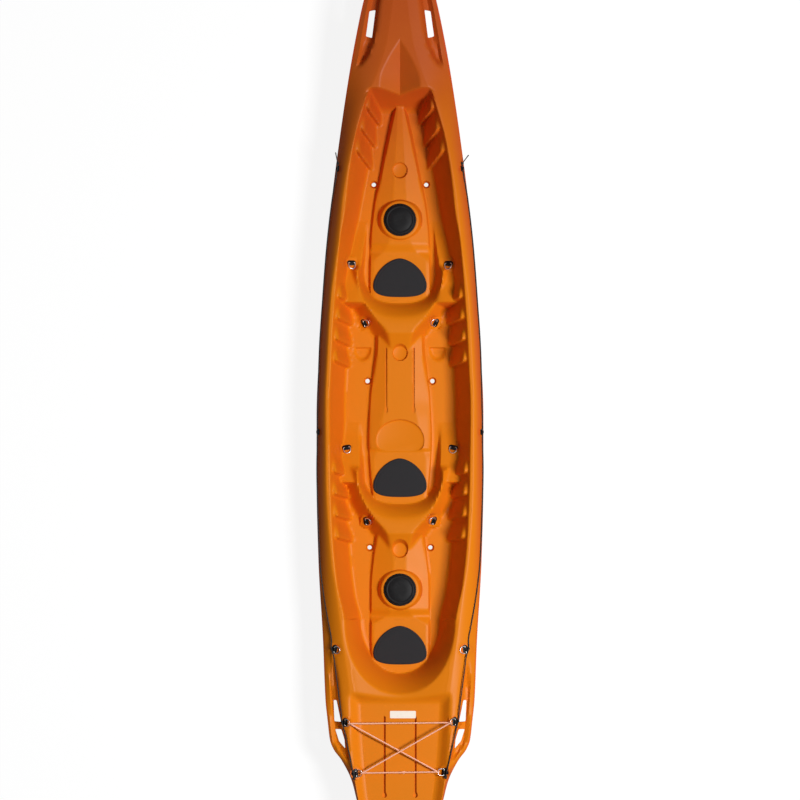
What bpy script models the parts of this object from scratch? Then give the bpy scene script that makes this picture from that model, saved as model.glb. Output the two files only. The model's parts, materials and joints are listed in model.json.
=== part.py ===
# Three-seat sit-on-top kayak, in metres. +Y is the bow, +X is starboard, +Z is up.
# The origin lies under the middle of the hull, on the ground that the keel rests on.
import math

import bmesh
import bpy
import numpy as np
from mathutils import Matrix, Vector

for old in list(bpy.data.objects):
    bpy.data.objects.remove(old, do_unlink=True)

GAP = 0.0003

# Hull lines: (distance forward of the middle, value), from stern to bow
TIP = 2.25
EDGE_BREADTH = [
    (-2.25, 0.0), (-2.235, 0.06), (-2.18, 0.112), (-2.05, 0.165), (-1.887, 0.208), (-1.796, 0.232),
    (-1.70, 0.280), (-1.65, 0.317), (-1.605, 0.335), (-1.509, 0.347), (-1.413, 0.357), (-1.126, 0.369),
    (-0.742, 0.391), (-0.35, 0.400), (-0.05, 0.400), (0.216, 0.390), (0.599, 0.366), (0.982, 0.327),
    (1.269, 0.290), (1.557, 0.247), (1.748, 0.213), (1.94, 0.172), (2.10, 0.122), (2.20, 0.075),
    (2.24, 0.035), (2.25, 0.0)]
CREST_BREADTH = [
    (-2.25, 0.0), (-2.18, 0.08), (-2.05, 0.145), (-1.887, 0.192), (-1.70, 0.215), (-1.605, 0.223),
    (-1.413, 0.236), (-1.126, 0.274), (-0.886, 0.306), (-0.742, 0.328), (-0.35, 0.352), (0.024, 0.354),
    (0.216, 0.346), (0.503, 0.330), (0.790, 0.292), (0.982, 0.273), (1.221, 0.232), (1.413, 0.184),
    (1.557, 0.120), (1.748, 0.060), (2.25, 0.0)]
CREST_HEIGHT = [
    (-2.25, 0.300), (-1.9, 0.292), (-1.4, 0.283), (-0.9, 0.278), (0.0, 0.282), (0.9, 0.296),
    (1.4, 0.316), (1.75, 0.336), (2.25, 0.345)]
EDGE_HEIGHT = [
    (-2.25, 0.270), (-1.9, 0.250), (-1.5, 0.228), (-0.9, 0.205), (0.0, 0.198), (0.9, 0.212),
    (1.4, 0.242), (1.75, 0.290), (2.25, 0.318)]
SIDE_BREADTH = [
    (-2.25, 0.0), (-2.235, 0.04), (-2.18, 0.085), (-2.05, 0.135), (-1.887, 0.178), (-1.70, 0.218),
    (-1.60, 0.235), (-1.50, 0.252), (-1.40, 0.285), (-1.32, 0.345), (-1.126, 0.362), (-0.742, 0.383),
    (-0.35, 0.393), (-0.05, 0.393), (0.216, 0.381), (0.599, 0.357), (0.982, 0.319), (1.269, 0.283),
    (1.45, 0.256), (1.557, 0.205), (1.66, 0.150), (1.80, 0.118), (1.94, 0.100), (2.10, 0.072),
    (2.20, 0.045), (2.24, 0.022), (2.25, 0.0)]
KEEL_HEIGHT = [
    (-2.25, 0.230), (-2.20, 0.150), (-2.08, 0.085), (-1.85, 0.042), (-1.4, 0.010), (-1.0, 0.0),
    (1.0, 0.0), (1.4, 0.012), (1.8, 0.050), (2.05, 0.105), (2.19, 0.185), (2.25, 0.290)]
BILGE_FULLNESS = [(-2.25, 2.0), (-1.5, 3.2), (-0.8, 5.0), (0.8, 5.0), (1.5, 2.8), (2.25, 2.0)]

# Cockpit lines
RIM_BREADTH = [
    (-2.25, 0.20), (-1.030, 0.267), (-0.848, 0.302), (-0.647, 0.322), (-0.350, 0.334), (0.0, 0.338),
    (0.172, 0.331), (0.398, 0.320), (0.503, 0.312), (0.637, 0.302), (0.790, 0.287), (0.934, 0.263),
    (1.078, 0.248), (1.284, 0.214), (1.413, 0.178), (1.52, 0.150), (2.25, 0.08)]
FLOOR_BREADTH = [
    (-2.25, 0.12), (-1.030, 0.190), (-0.920, 0.217), (-0.700, 0.243), (-0.350, 0.262), (0.0, 0.266),
    (0.172, 0.260), (0.503, 0.238), (0.790, 0.215), (0.982, 0.184), (1.145, 0.152), (1.284, 0.128),
    (1.413, 0.100), (2.25, 0.05)]
FLOOR = 0.100
# The foot braces: start, number of steps, pitch, slant and the breadth that the start is given at
FOOT_BRACES = ((1.520, 3, 0.132, 1.25, 0.148), (0.604, 4, 0.104, 0.45, 0.290), (-0.238, 4, 0.103, 0.30, 0.300))
FRONT_WALL = (1.413, 1.518)
AFT_BOWL_Y = -1.030
AFT_BOWL_REACH = 0.382
AFT_BOWL_FLOOR_REACH = 0.246

# Each of the two front seats: middle of its bowl, how its sides spread towards the bow and where
# its ledges end
SEAT_BOWLS = ((0.637, -0.06, -0.145), (-0.326, 0.09, -0.035))
LEDGE_START = 0.225
LEDGE_TOP = 0.200
BOWL_BREADTH, BOWL_FLOOR_BREADTH = 0.206, 0.172
BOWL_REACH, BOWL_FLOOR_REACH = 0.220, 0.135
TAIL_BREADTH = [(-0.370, 0.045), (-0.300, 0.058), (-0.215, 0.122), (-0.150, 0.160), (-0.10, 0.178),
                (-0.035, 0.200), (0.01, 0.204)]
TAIL_RAMP = (-0.290, -0.375)

# Middle console and seat pans
CONSOLE_BREADTH = [
    (-1.36, 0.12), (-1.24, 0.130), (-1.169, 0.137), (-0.886, 0.137), (-0.647, 0.115), (-0.50, 0.100),
    (-0.46, 0.122), (-0.359, 0.137), (-0.168, 0.148), (0.024, 0.140), (0.168, 0.124), (0.278, 0.112),
    (0.46, 0.110), (0.50, 0.126), (0.551, 0.142), (0.790, 0.137), (0.958, 0.120), (1.078, 0.096),
    (1.184, 0.075), (1.284, 0.055), (1.42, 0.026)]
CONSOLE_FLAT = [
    (-1.36, 0.12), (-1.24, 0.124), (-1.06, 0.128), (-1.0, 0.05), (-0.742, 0.032), (-0.58, 0.062),
    (-0.46, 0.122), (-0.27, 0.128), (-0.19, 0.105), (-0.06, 0.085), (0.03, 0.064), (0.28, 0.062),
    (0.40, 0.062), (0.48, 0.122), (0.68, 0.128), (0.76, 0.06), (0.89, 0.04), (1.2, 0.022), (1.42, 0.01)]
CONSOLE_TOP = [
    (-1.36, 0.125), (-1.022, 0.125), (-0.975, 0.148), (-0.60, 0.150), (-0.50, 0.125), (-0.228, 0.125),
    (-0.205, 0.139), (0.04, 0.143), (0.30, 0.146), (0.44, 0.125), (0.724, 0.125), (0.78, 0.148),
    (1.20, 0.148), (1.42, 0.142)]
CONSOLE_LEAN = math.tan(math.radians(17))
PAD_MIDDLES = (0.594, -0.366, -1.170)
PAD_HALF_WIDTH = 0.127
PAD_FRONT_REACH, PAD_AFT_REACH = 0.110, 0.076
PAD_RECESS = 0.0006
PAN_HEIGHT = 0.125
CHILD_SEAT_Y, CHILD_SEAT_HALF_WIDTH = -0.170, 0.118
DIMPLES = ((0.0, 1.126), (0.0, 0.249), (0.0, -0.695))
DIMPLE_RADIUS = 0.038
DIMPLE_FLOOR = 0.134

# Hatches
HATCHES = {"front": 0.888, "rear": -0.886}
BOSS_HEIGHT = 0.164
BOSS_RADIUS = 0.090
BOSS_SKIRT = 0.034
BOSS_FOOT = 0.108
HATCH_HOLE = 0.0655
FLANGE_RADIUS = 0.078
COLLAR_RADIUS, COLLAR_BORE = 0.0645, 0.0590
LID_RADIUS = 0.0700
PLUG_RADIUS = 0.0565

# Drain holes through the hull
SCUPPERS = ((0.126, 1.059), (0.156, 0.115), (0.146, -0.685))
SCUPPER_RADIUS = 0.0105
WALL = 0.006

# Tank well behind the last seat
TANK_FLOOR = 0.236
TANK_FRONT, TANK_AFT = -1.430, -2.000
TANK_BREADTH = [(-2.05, 0.120), (-1.85, 0.160), (-1.60, 0.182), (-1.43, 0.190)]
TANK_GROOVES = (0.074, -1.88, -1.49)

# Slots to hold on to: (breadth, y) corners of each, on both sides
GRAB_SLOTS = {
    "bow": ((0.117, 1.890), (0.146, 1.884), (0.163, 1.763), (0.134, 1.755)),
    "stern_front": ((0.304, -1.413), (0.318, -1.413), (0.314, -1.515), (0.282, -1.518)),
    "stern_aft": ((0.281, -1.552), (0.310, -1.552), (0.292, -1.610), (0.262, -1.646), (0.266, -1.600))}

# Deck fittings: (x, y, direction the ring lies, in degrees from +X)
EYES = {
    "seat1_port": (-0.233, 0.682, -90), "seat1_starboard": (0.233, 0.679, -90),
    "tail1_port": (-0.172, 0.392, 25), "tail1_starboard": (0.172, 0.394, 155),
    "seat2_port": (-0.256, -0.204, -80), "seat2_starboard": (0.256, -0.204, -100),
    "tail2_port": (-0.163, -0.558, 10), "tail2_starboard": (0.163, -0.556, 160),
    "seat3_port": (-0.312, -1.169, -12), "seat3_starboard": (0.312, -1.169, 190),
    "tank_front_port": (-0.262, -1.518, -5), "tank_front_starboard": (0.262, -1.514, 185),
    "tank_aft_port": (-0.212, -1.762, 5), "tank_aft_starboard": (0.212, -1.757, 175)}
GUIDES = {
    "guide_bow_port": (-0.297, 1.132), "guide_bow_starboard": (0.297, 1.132),
    "guide_middle_port": (-0.391, -0.129), "guide_middle_starboard": (0.391, -0.129)}
SEAT_OF_EYE, SEAT_OF_GUIDE = 0.0265, 0.018
SEAT_DEPTH = 0.0008
GUIDE_ANGLES = {
    "guide_bow_port": -98, "guide_bow_starboard": -82, "guide_middle_port": -90, "guide_middle_starboard": -90}

# Pad eyes and their rings, the deck line and the elastic cord
EYE_LENGTH, EYE_WIDTH, EYE_THICKNESS = 0.044, 0.024, 0.0030
SADDLE_LENGTH = 0.018
WIRE_RADIUS, BAR_HEIGHT = 0.0020, 0.0057
RING_HALF_WIDTH, RING_REACH = 0.0165, 0.0290
LINE_RADIUS, LINE_HEIGHT, LINE_OFFSET = 0.0028, 0.0066, 0.0135
LINE_LIFT, LINE_STEP = 0.0052, 0.085
KNOT = (0.0080, 0.0145, 0.0200)
LINE_ANGLES = {
    "seat3_port": -79, "seat3_starboard": -101, "tank_front_port": -79, "tank_front_starboard": -101,
    "tank_aft_port": -78, "tank_aft_starboard": -102}
RAISED = {
    "tail1_port": 4, "tail1_starboard": 4, "tail2_port": 7, "tail2_starboard": 7,
    "tank_front_port": 14, "tank_front_starboard": 14, "tank_aft_port": 30, "tank_aft_starboard": 30}
CORD_RADIUS = 0.0036

# The deck line's free way along the edge, forward and aft of the middle guides: (breadth, y)
LINE_FORE = ((0.303, 1.085), (0.318, 1.000), (0.347, 0.750), (0.366, 0.500), (0.382, 0.250), (0.391, -0.080))
LINE_AFT = ((0.391, -0.170), (0.3935, -0.300), (0.388, -0.550), (0.379, -0.757), (0.363, -0.900),
            (0.325, -1.120))
LINE_SLOTS = ((0.317, -1.205), (0.282, -1.470))
LINE_TANK = ((0.266, -1.560), (0.233, -1.715))
DRAIN_Y = -2.060
DRAIN_HOLE = 0.0135

# How finely the moulding is made, and how much of that is kept
HULL_STEP, DECK_COLUMNS = 0.008, 116
HULL_FACES, HOLLOW_FACES = 0.036, 0.20
BOTTOM_SHARES = (0.0, 0.08, 0.16, 0.225, 0.29, 0.355, 0.42, 0.53, 0.66, 0.78, 0.87, 0.93, 0.97, 0.99, 1.0)
HOLLOW_SHARES = (0.0, 0.30, 0.60, 0.80, 0.92, 0.98, 1.0)


def through(points, at):
    """Read a smooth line through the given points, which never swings past them."""
    ys, values = np.array(points).T
    gaps = np.diff(ys)
    slopes = np.diff(values) / gaps
    product = slopes[:-1] * slopes[1:]
    total = slopes[:-1] + slopes[1:]
    tangents = np.concatenate(([slopes[0]], np.where(product > 0, 2 * product / np.where(
        total == 0, 1, total), 0), [slopes[-1]]))
    at = np.clip(at, ys[0], ys[-1])
    i = np.clip(np.searchsorted(ys, at) - 1, 0, len(ys) - 2)
    t = (at - ys[i]) / gaps[i]
    return (values[i] * (1 + 2 * t) * (1 - t) ** 2 + values[i + 1] * t * t * (3 - 2 * t)
            + gaps[i] * t * (1 - t) * (tangents[i] * (1 - t) - tangents[i + 1] * t))


def upper(a, b, fillet):
    """The higher of two surfaces, with a fillet where they meet."""
    h = np.clip(0.5 + 0.5 * (a - b) / fillet, 0, 1)
    return b + (a - b) * h + fillet * h * (1 - h)


def lower(a, b, fillet):
    """The lower of two surfaces, with a rounded edge where they meet."""
    return -upper(-a, -b, fillet)


def ease(t):
    t = np.clip(t, 0, 1)
    return t * t * (3 - 2 * t)


def window(value, low, high, soft):
    """1 between low and high, easing to 0 over soft on either side."""
    return ease((value - low) / soft + 0.5) * ease((high - value) / soft + 0.5)


def seat_shape(a, along, half_width, front, aft):
    """1 on the rounded D outline of a seat pad, less inside it."""
    reach = np.where(along > 0, front, aft)
    power = np.where(along > 0, 2.0, 2.8)
    return ((a / half_width) ** power + (np.abs(along) / reach) ** power) ** (1 / power)


def between(q_inner, q_outer):
    """How far a point lies from an inner outline, 0, to an outer one, 1."""
    return (q_inner - 1) / np.maximum((q_inner - 1) + (1 - q_outer), 1e-6)


def closed_deck(a, y):
    """The deck before anything is sunk into it: rails, and shoulders that fall to the edge."""
    edge, crest = through(EDGE_BREADTH, y), through(CREST_BREADTH, y)
    top, low = through(CREST_HEIGHT, y), through(EDGE_HEIGHT, y)
    t = np.clip((a - crest) / np.maximum(edge - crest, 0.004), 0, 1)
    return top - (top - low) * (0.45 * t + 0.55 * t * t)


def foot_braces(a, y):
    """How far the steps of the foot braces stand in from the footwell's wall."""
    steps = np.zeros_like(y)
    for start, count, pitch, slant, at in FOOT_BRACES:
        part = (start - y + slant * (a - at)) / pitch
        inside = (part > 0) & (part < count)
        rise = part % 1.0
        tooth = ease(rise / 0.80) * ease((1.0 - rise) / 0.20)
        steps = np.where(inside, 0.022 * tooth, steps)
    return steps


def cockpit(a, y):
    """The long footwell with its walls, from the front wall to the last seat's back."""
    top = through(CREST_HEIGHT, y)
    rim, floor = through(RIM_BREADTH, y), through(FLOOR_BREADTH, y)
    t = (a - floor) / (rim - floor)
    t = t + foot_braces(a, y) * ease((0.95 - t) / 0.40) / (rim - floor)
    back = AFT_BOWL_Y - y
    behind = np.maximum(back, 0)
    outer = np.hypot(a / 0.267, behind / AFT_BOWL_REACH)
    inner = np.hypot(a / 0.190, behind / AFT_BOWL_FLOOR_REACH)
    around = np.where(inner < 1, inner - 1, np.where(outer > 1, outer, between(inner, np.minimum(outer, 1))))
    t = np.where(back > 0, around, t)
    wall = FLOOR + (top - FLOOR) * t
    t_front = (y - FRONT_WALL[0]) / (FRONT_WALL[1] - FRONT_WALL[0])
    front = FLOOR + (top - FLOOR) * t_front
    return upper(upper(FLOOR + 0 * y, wall, 0.022), front, 0.045)


def console(a, y):
    """The low console down the middle, which widens into each seat pan."""
    top, flat = through(CONSOLE_TOP, y), through(CONSOLE_FLAT, y)
    side = through(CONSOLE_BREADTH, y)
    lean = top - np.maximum(a - flat, 0) * CONSOLE_LEAN
    return lower(lean, FLOOR - 0.004 + (side + 0.008 - a) * 3.0, 0.006)


def seat_block(a, y, middle, flare, ledge_end):
    """A raised block across the footwell that a seat's bowl is sunk into, and its tail aft."""
    start, end = middle + LEDGE_START, middle + ledge_end
    slope = (LEDGE_TOP - FLOOR) / (LEDGE_START + 0.140)
    ledge = FLOOR + (start - y) * slope
    ledge = lower(ledge, LEDGE_TOP + (y - end) * 3.5, 0.008)
    half = through([(middle + at, breadth) for at, breadth in TAIL_BREADTH], y)
    ramp = (LEDGE_TOP - 0.142) / (TAIL_RAMP[0] - TAIL_RAMP[1])
    tail = LEDGE_TOP - np.maximum(middle + TAIL_RAMP[0] - y, 0) * ramp
    tail = lower(tail, tail - (a - half) * 1.35, 0.010)
    tail = lower(tail, LEDGE_TOP + (middle - y) * 1.5, 0.010)
    tail = np.where(y > middle + 0.06, FLOOR - 0.1, tail)
    block = upper(ledge, tail, 0.012)
    back = np.maximum(middle - y, 0)
    spread = BOWL_BREADTH + flare * np.clip(y - middle, 0, 0.3)
    outer = (np.abs(a / spread) ** 2.5 + (back / BOWL_REACH) ** 2.5) ** 0.4
    inner = (np.abs(a / (spread - 0.034)) ** 2.5 + (back / BOWL_FLOOR_REACH) ** 2.5) ** 0.4
    t = np.where(inner < 1, inner - 1, np.where(outer > 1, outer, between(inner, np.minimum(outer, 1))))
    bowl = FLOOR - 0.002 + (LEDGE_TOP - FLOOR) * t
    return lower(block, bowl, 0.008)


def tank_well(a, y):
    floor = through(TANK_BREADTH, y)
    side = TANK_FLOOR + np.maximum(a - floor, 0) * 0.85
    front = TANK_FLOOR + np.maximum(y - TANK_FRONT, 0) * 0.9
    aft = TANK_FLOOR + np.maximum(TANK_AFT - y, 0) * 0.9
    return upper(upper(side, front, 0.02), aft, 0.02)


def deck_shape(x, y):
    """Height of the deck, fittings' seats aside."""
    a = np.abs(x)
    deck = closed_deck(a, y)

    # V-shaped trough in the bow deck, which runs down into the footwell
    breadth = through([(1.40, 0.105), (1.566, 0.094), (1.653, 0.058), (1.748, 0.0)], y)
    depth = through([(1.40, 0.085), (1.518, 0.062), (1.653, 0.030), (1.748, 0.0)], y)
    trough = closed_deck(breadth, y) - depth * (1 - a / np.maximum(breadth, 0.002))
    deck = np.where((y < 1.748) & (y > 1.3), lower(deck, trough, 0.004), deck)

    # Channels beside the grab slots
    inner = through([(1.605, 0.198), (1.677, 0.156), (1.763, 0.125), (1.844, 0.113), (1.94, 0.100),
                     (2.06, 0.060)], y)
    outer = through([(1.605, 0.202), (1.677, 0.190), (1.763, 0.172), (1.844, 0.157), (1.94, 0.140),
                     (2.06, 0.066)], y)
    sunk = 0.030 * window(a, inner, outer, 0.022) * ease((y - 1.60) / 0.06) * ease((2.06 - y) / 0.06)
    deck = deck - sunk
    inner = through([(-1.72, 0.240), (-1.62, 0.256), (-1.50, 0.284), (-1.33, 0.300), (-1.15, 0.325)], y)
    outer = through([(-1.72, 0.244), (-1.66, 0.280), (-1.60, 0.314), (-1.50, 0.324), (-1.33, 0.330),
                     (-1.15, 0.330)], y)
    sunk = 0.026 * window(a, inner, outer, 0.020) * ease((y + 1.73) / 0.06) * ease((-1.15 - y) / 0.20)
    deck = deck - sunk

    deck = lower(deck, cockpit(a, y), 0.010)
    for middle, flare, ledge_end in SEAT_BOWLS:
        near = (y < middle + 0.24) & (y > middle - 0.39)
        deck = np.where(near, upper(deck, seat_block(a, y, middle, flare, ledge_end), 0.012), deck)
    ridge = console(a, y)
    deck = np.where((y < 1.44) & (y > -1.36), upper(deck, ridge, 0.006), deck)

    # Side decks beside the last seat lean inwards from a narrow groove
    line = through([(-1.50, 0.200), (-1.42, 0.212), (-1.025, 0.258), (-0.95, 0.262)], y)
    lean = closed_deck(line, y) - (line - np.hypot(a, 0.07)) * 0.16 - 0.002
    beside = (y > -1.50) & (y < -0.98)
    deck = np.where(beside & (a < line), lower(deck, lean, 0.004), deck)
    deck = np.where((y > -2.10) & (y < -1.36), lower(deck, tank_well(a, y), 0.010), deck)
    at, aft, front = TANK_GROOVES
    groove = window(a, at - 0.005, at + 0.005, 0.006) * window(y, aft, front, 0.012)
    deck = deck - 0.007 * groove

    # Grooves along the middle console, wider at their aft ends
    wide = 0.0045 + 0.003 * ease((0.045 - y) / 0.03)
    groove = window(a, 0.066 - wide, 0.066 + wide, 0.006) * window(y, -0.036, 0.276, 0.012)
    deck = deck - 0.008 * groove

    # Heel dimples beside the console
    dish = np.hypot((a - 0.180) / 0.045, (y - 0.272) / 0.066)
    deck = deck - 0.014 * ease((1 - dish) / 0.35) * ease((0.278 - y) / 0.008)

    # The child's seat, a shallow D sunk into the middle console
    q = seat_shape(a, y - CHILD_SEAT_Y, CHILD_SEAT_HALF_WIDTH, 0.100, 0.062)
    pan = 0.129 + 0.020 * np.clip((CHILD_SEAT_Y - 0.015 - y) / 0.05, 0, 1) ** 2
    deck = np.where(q < 1.25, deck + (np.minimum(pan, deck) - deck) * ease((1.04 - q) / 0.08), deck)

    r = np.hypot(x, y - DRAIN_Y)
    return np.where(r < 0.045, deck + (DRAIN_HEIGHT - deck) * ease((0.042 - r) / 0.015), deck)


def tangent_plane(x, y, steepest):
    """Height and slopes of a flat seat at a fitting, close to the deck's own slopes."""
    step = 0.016
    grid = np.array([(x + i * step, y + j * step) for i in (-1, 0, 1) for j in (-1, 0, 1)])
    heights = deck_shape(grid[:, 0], grid[:, 1])
    fit = np.column_stack((np.ones(9), grid[:, 0] - x, grid[:, 1] - y))
    height, *slopes = np.linalg.lstsq(fit, heights, rcond=None)[0]
    return (height, *np.clip(slopes, -steepest, steepest))


DRAIN_HEIGHT = float(through(CREST_HEIGHT, DRAIN_Y)) + 0.002
SEATS = {name: (x, y, SEAT_OF_EYE, tangent_plane(x, y, 0.45)) for name, (x, y, _) in EYES.items()}
SEATS.update({name: (x, y, SEAT_OF_GUIDE, tangent_plane(x, y, 1.2)) for name, (x, y) in GUIDES.items()})


def deck_height(x, y):
    """Height of the finished deck, flat where each fitting sits."""
    deck = deck_shape(x, y)
    for at_x, at_y, radius, (height, slope_x, slope_y) in SEATS.values():
        dx, dy = x - at_x, y - at_y
        r = np.sqrt(dx ** 2 * (1 + slope_x ** 2) + dy ** 2)
        plane = height + slope_x * dx + slope_y * dy
        deck = deck + (plane - deck) * ease((radius + 0.010 - r) / 0.008)
    edge = through(EDGE_BREADTH, y)
    rim = np.clip((np.abs(x) - edge + 0.004) / 0.004, 0, 1)
    return deck + (through(EDGE_HEIGHT, y) - deck) * rim


def bottom_point(share, y):
    """Points of the bottom's half section, by their share of its breadth: the keel is 0, the side is 1."""
    share = np.array(share)
    side, keel = through(SIDE_BREADTH, y), through(KEEL_HEIGHT, y)
    high = through(EDGE_HEIGHT, y) - 0.005 - 0.042 * ease((np.abs(y + 0.03) - 1.20) / 0.16)
    high = np.maximum(high, keel + 0.002)
    power = through(BILGE_FULLNESS, y)
    bilge = 1 - (1 - share ** power) ** (1 / power)
    x = side * share
    tunnel = np.exp(-((x - 0.115) / 0.034) ** 2) * window(y, -1.5, 1.35, 0.5)
    beside_keel = ease((share - 0.08) / 0.08)
    return x, keel + beside_keel * ((high - keel) * bilge + 0.016 * tunnel)


def material(name, colour, roughness, metallic=0.0):
    made = bpy.data.materials.new(name)
    made.use_nodes = True
    shader = made.node_tree.nodes["Principled BSDF"]
    shader.inputs["Base Color"].default_value = (*colour, 1)
    shader.inputs["Roughness"].default_value = roughness
    shader.inputs["Metallic"].default_value = metallic
    return made


ORANGE = material("orange_hull", (0.72, 0.17, 0.01), 0.45)
BLACK = material("black_plastic", (0.02, 0.02, 0.022), 0.5)
FOAM = material("seat_foam", (0.035, 0.036, 0.040), 0.85)
RUBBER = material("rubber", (0.03, 0.03, 0.03), 0.8)
STEEL = material("stainless", (0.70, 0.70, 0.70), 0.25, 1.0)
LINE = material("deck_line", (0.02, 0.02, 0.02), 0.8)
ELASTIC = material("elastic_cord", (0.80, 0.22, 0.08), 0.7)


def finish_mesh(bm, name, look, guide=False):
    """Turn a bmesh into a named object; a guide only cuts others."""
    mesh = bpy.data.meshes.new(name)
    bm.to_mesh(mesh)
    bm.free()
    made = bpy.data.objects.new(name, mesh)
    bpy.context.collection.objects.link(made)
    mesh.materials.append(look)
    mesh.shade_smooth()
    mesh.set_sharp_from_angle(angle=math.radians(38))
    if guide:
        made.hide_render = True
        made.display_type = "WIRE"
    return made


def skin_of_rings(rings):
    """A closed mesh over rings of points, the same on both sides of the middle."""
    bm = bmesh.new()
    rows = [[bm.verts.new(p) for p in ring] for ring in rings]
    count = len(rows[0])
    for first, second in zip(rows, rows[1:]):
        for i in range(count):
            j = (i + 1) % count
            if abs(first[i].co.x) > abs(first[j].co.x):
                bm.faces.new((first[i], second[i], second[j]))
                bm.faces.new((first[i], second[j], first[j]))
            else:
                bm.faces.new((first[i], second[i], first[j]))
                bm.faces.new((second[i], second[j], first[j]))
    bm.faces.new(rows[0])
    bm.faces.new(rows[-1][::-1])
    return bm


def across(y, half, columns):
    """Places across a section, whose columns run along the moulding's long lines."""
    lines = [0.0] + [float(through(line, y)) for line in (
        CONSOLE_BREADTH, FLOOR_BREADTH, RIM_BREADTH, CREST_BREADTH)] + [half]
    shares = (0.0, 0.26, 0.50, 0.74, 0.84, 1.0)
    for i in range(4, 0, -1):
        lines[i] = min(lines[i], lines[i + 1] - half * 0.5 * (shares[i + 1] - shares[i]))
    for i in range(1, 5):
        lines[i] = max(lines[i], lines[i - 1] + half * 0.4 * (shares[i] - shares[i - 1]))
    parts = np.linspace(1, -1, columns + 1)
    return np.sign(parts) * np.interp(np.abs(parts), shares, lines)


def section_ring(y):
    """A whole outer cross-section: deck from starboard to port, then the bottom back again."""
    xs = across(y, float(through(EDGE_BREADTH, y)), DECK_COLUMNS)
    zs = deck_height(xs, np.full_like(xs, y))
    bx, bz = bottom_point(BOTTOM_SHARES, y)
    ring = [(x, y, z) for x, z in zip(xs, zs)]
    ring += [(-x, y, z) for x, z in zip(bx[::-1], bz[::-1])]
    return ring + [(x, y, z) for x, z in zip(bx[1:], bz[1:])]


def hollow_ring(y):
    """A cross-section of the space inside, well clear of the deck and the bottom."""
    bx, bz = bottom_point(HOLLOW_SHARES, y)
    side = bx[-1]
    bx = bx * (side - 0.020) / side
    xs = across(y, bx[-1], 22)
    roof = deck_height(xs, np.full_like(xs, y))
    for reach in (0.009, 0.018, 0.026):
        for turn in range(12):
            dx = reach * math.cos(turn * math.pi / 6)
            dy = reach * math.sin(turn * math.pi / 6)
            roof = np.minimum(roof, deck_height(xs + dx, np.full_like(xs, y + dy)))
    for x, at in DIMPLES:
        near = np.hypot(xs - x, y - at) < DIMPLE_RADIUS + 0.045
        roof = np.where(near, np.minimum(roof, DIMPLE_FLOOR), roof)
    roof = roof - WALL - 0.0025
    floor = np.interp(np.abs(xs), bx, bz + WALL + 0.002)
    roof = np.maximum(roof, floor + 0.003)
    ring = [(x, y, z) for x, z in zip(xs, roof)]
    lift = np.minimum(bz + WALL + 0.002, np.interp(bx, xs[::-1], roof[::-1]) - 0.0015)
    ring += [(-x, y, z) for x, z in zip(bx[::-1], lift[::-1])]
    return ring + [(x, y, z) for x, z in zip(bx[1:], lift[1:])]


def stations(step, reach):
    """Distances along the hull, with a few more close to the ends."""
    count = int(2 * reach / step)
    middle = [-reach + 2 * reach * (i + 0.5) / count for i in range(count)]
    ends = [reach - step * part for part in (0.02, 0.12, 0.3)]
    return sorted(middle + ends + [-end for end in ends])


def lighten(thing, ratio):
    """Leave out the faces that a plain stretch of the surface doesn't need."""
    fewer = thing.modifiers.new("fewer faces where it is plain", "DECIMATE")
    fewer.ratio = ratio
    fewer.use_symmetry = True
    fewer.symmetry_axis = "X"


def combine(thing, other, operation, overlapping=False):
    """Cut another object out of this one, or join it on; its own pieces may overlap."""
    boolean = thing.modifiers.new(operation.lower() + " " + other.name, "BOOLEAN")
    boolean.operation = operation
    boolean.solver = "EXACT"
    boolean.use_self = overlapping
    boolean.object = other


def add_prism(bm, corners, low, high, frame=None, widen=1.0):
    """Add a prism over the given corners, its top wider or narrower than its foot."""
    frame = frame or Matrix.Identity(4)
    middle = np.mean(corners, axis=0)
    area = sum(a[0] * b[1] - b[0] * a[1] for a, b in zip(corners, corners[1:] + corners[:1]))
    if area < 0:
        corners = corners[::-1]
    bottom = [bm.verts.new(frame @ Vector((x, y, low))) for x, y in corners]
    wide = [middle + (np.array(corner) - middle) * widen for corner in corners]
    top = [bm.verts.new(frame @ Vector((x, y, high))) for x, y in wide]
    bm.faces.new(bottom[::-1])
    bm.faces.new(top)
    for i in range(len(corners)):
        j = (i + 1) % len(corners)
        bm.faces.new((bottom[i], bottom[j], top[j], top[i]))


def circle(x, y, radius, sides):
    turns = [2 * math.pi * (i + 0.5) / sides for i in range(sides)]
    return [(x + radius * math.cos(turn), y + radius * math.sin(turn)) for turn in turns]


def stadium(length, width, sides):
    """A long rounded outline along Y."""
    straight = length / 2 - width / 2
    turns = [math.pi * i / sides for i in range(sides + 1)]
    half = [(width / 2 * math.cos(turn), straight + width / 2 * math.sin(turn)) for turn in turns]
    return half + [(-x, -y) for x, y in half]


def pad_outline(sides, scale=1.0):
    """The rounded D of a seat pad, wide and nearly straight aft."""
    outline = []
    for i in range(sides):
        turn = 2 * math.pi * i / sides
        across_it, along_it = math.sin(turn), math.cos(turn)
        reach = PAD_FRONT_REACH if along_it > 0 else PAD_AFT_REACH
        power = 2.0 if along_it > 0 else 2.8
        x = PAD_HALF_WIDTH * math.copysign(abs(across_it) ** (2 / power), across_it)
        y = reach * math.copysign(abs(along_it) ** (2 / power), along_it)
        outline.append((x * scale, y * scale))
    return outline


def seat_frame(name, direction):
    """A frame on a fitting's seat: X along its direction on the deck, Z out of the deck."""
    x, y, _, (height, slope_x, slope_y) = SEATS[name]
    up = Vector((-slope_x, -slope_y, 1)).normalized()
    along = Vector((math.cos(math.radians(direction)), math.sin(math.radians(direction)), 0))
    along = (along - up * along.dot(up)).normalized()
    frame = Matrix((along, up.cross(along), up)).transposed().to_4x4()
    frame.translation = Vector((x, y, height)) - up * SEAT_DEPTH
    return frame


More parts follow.
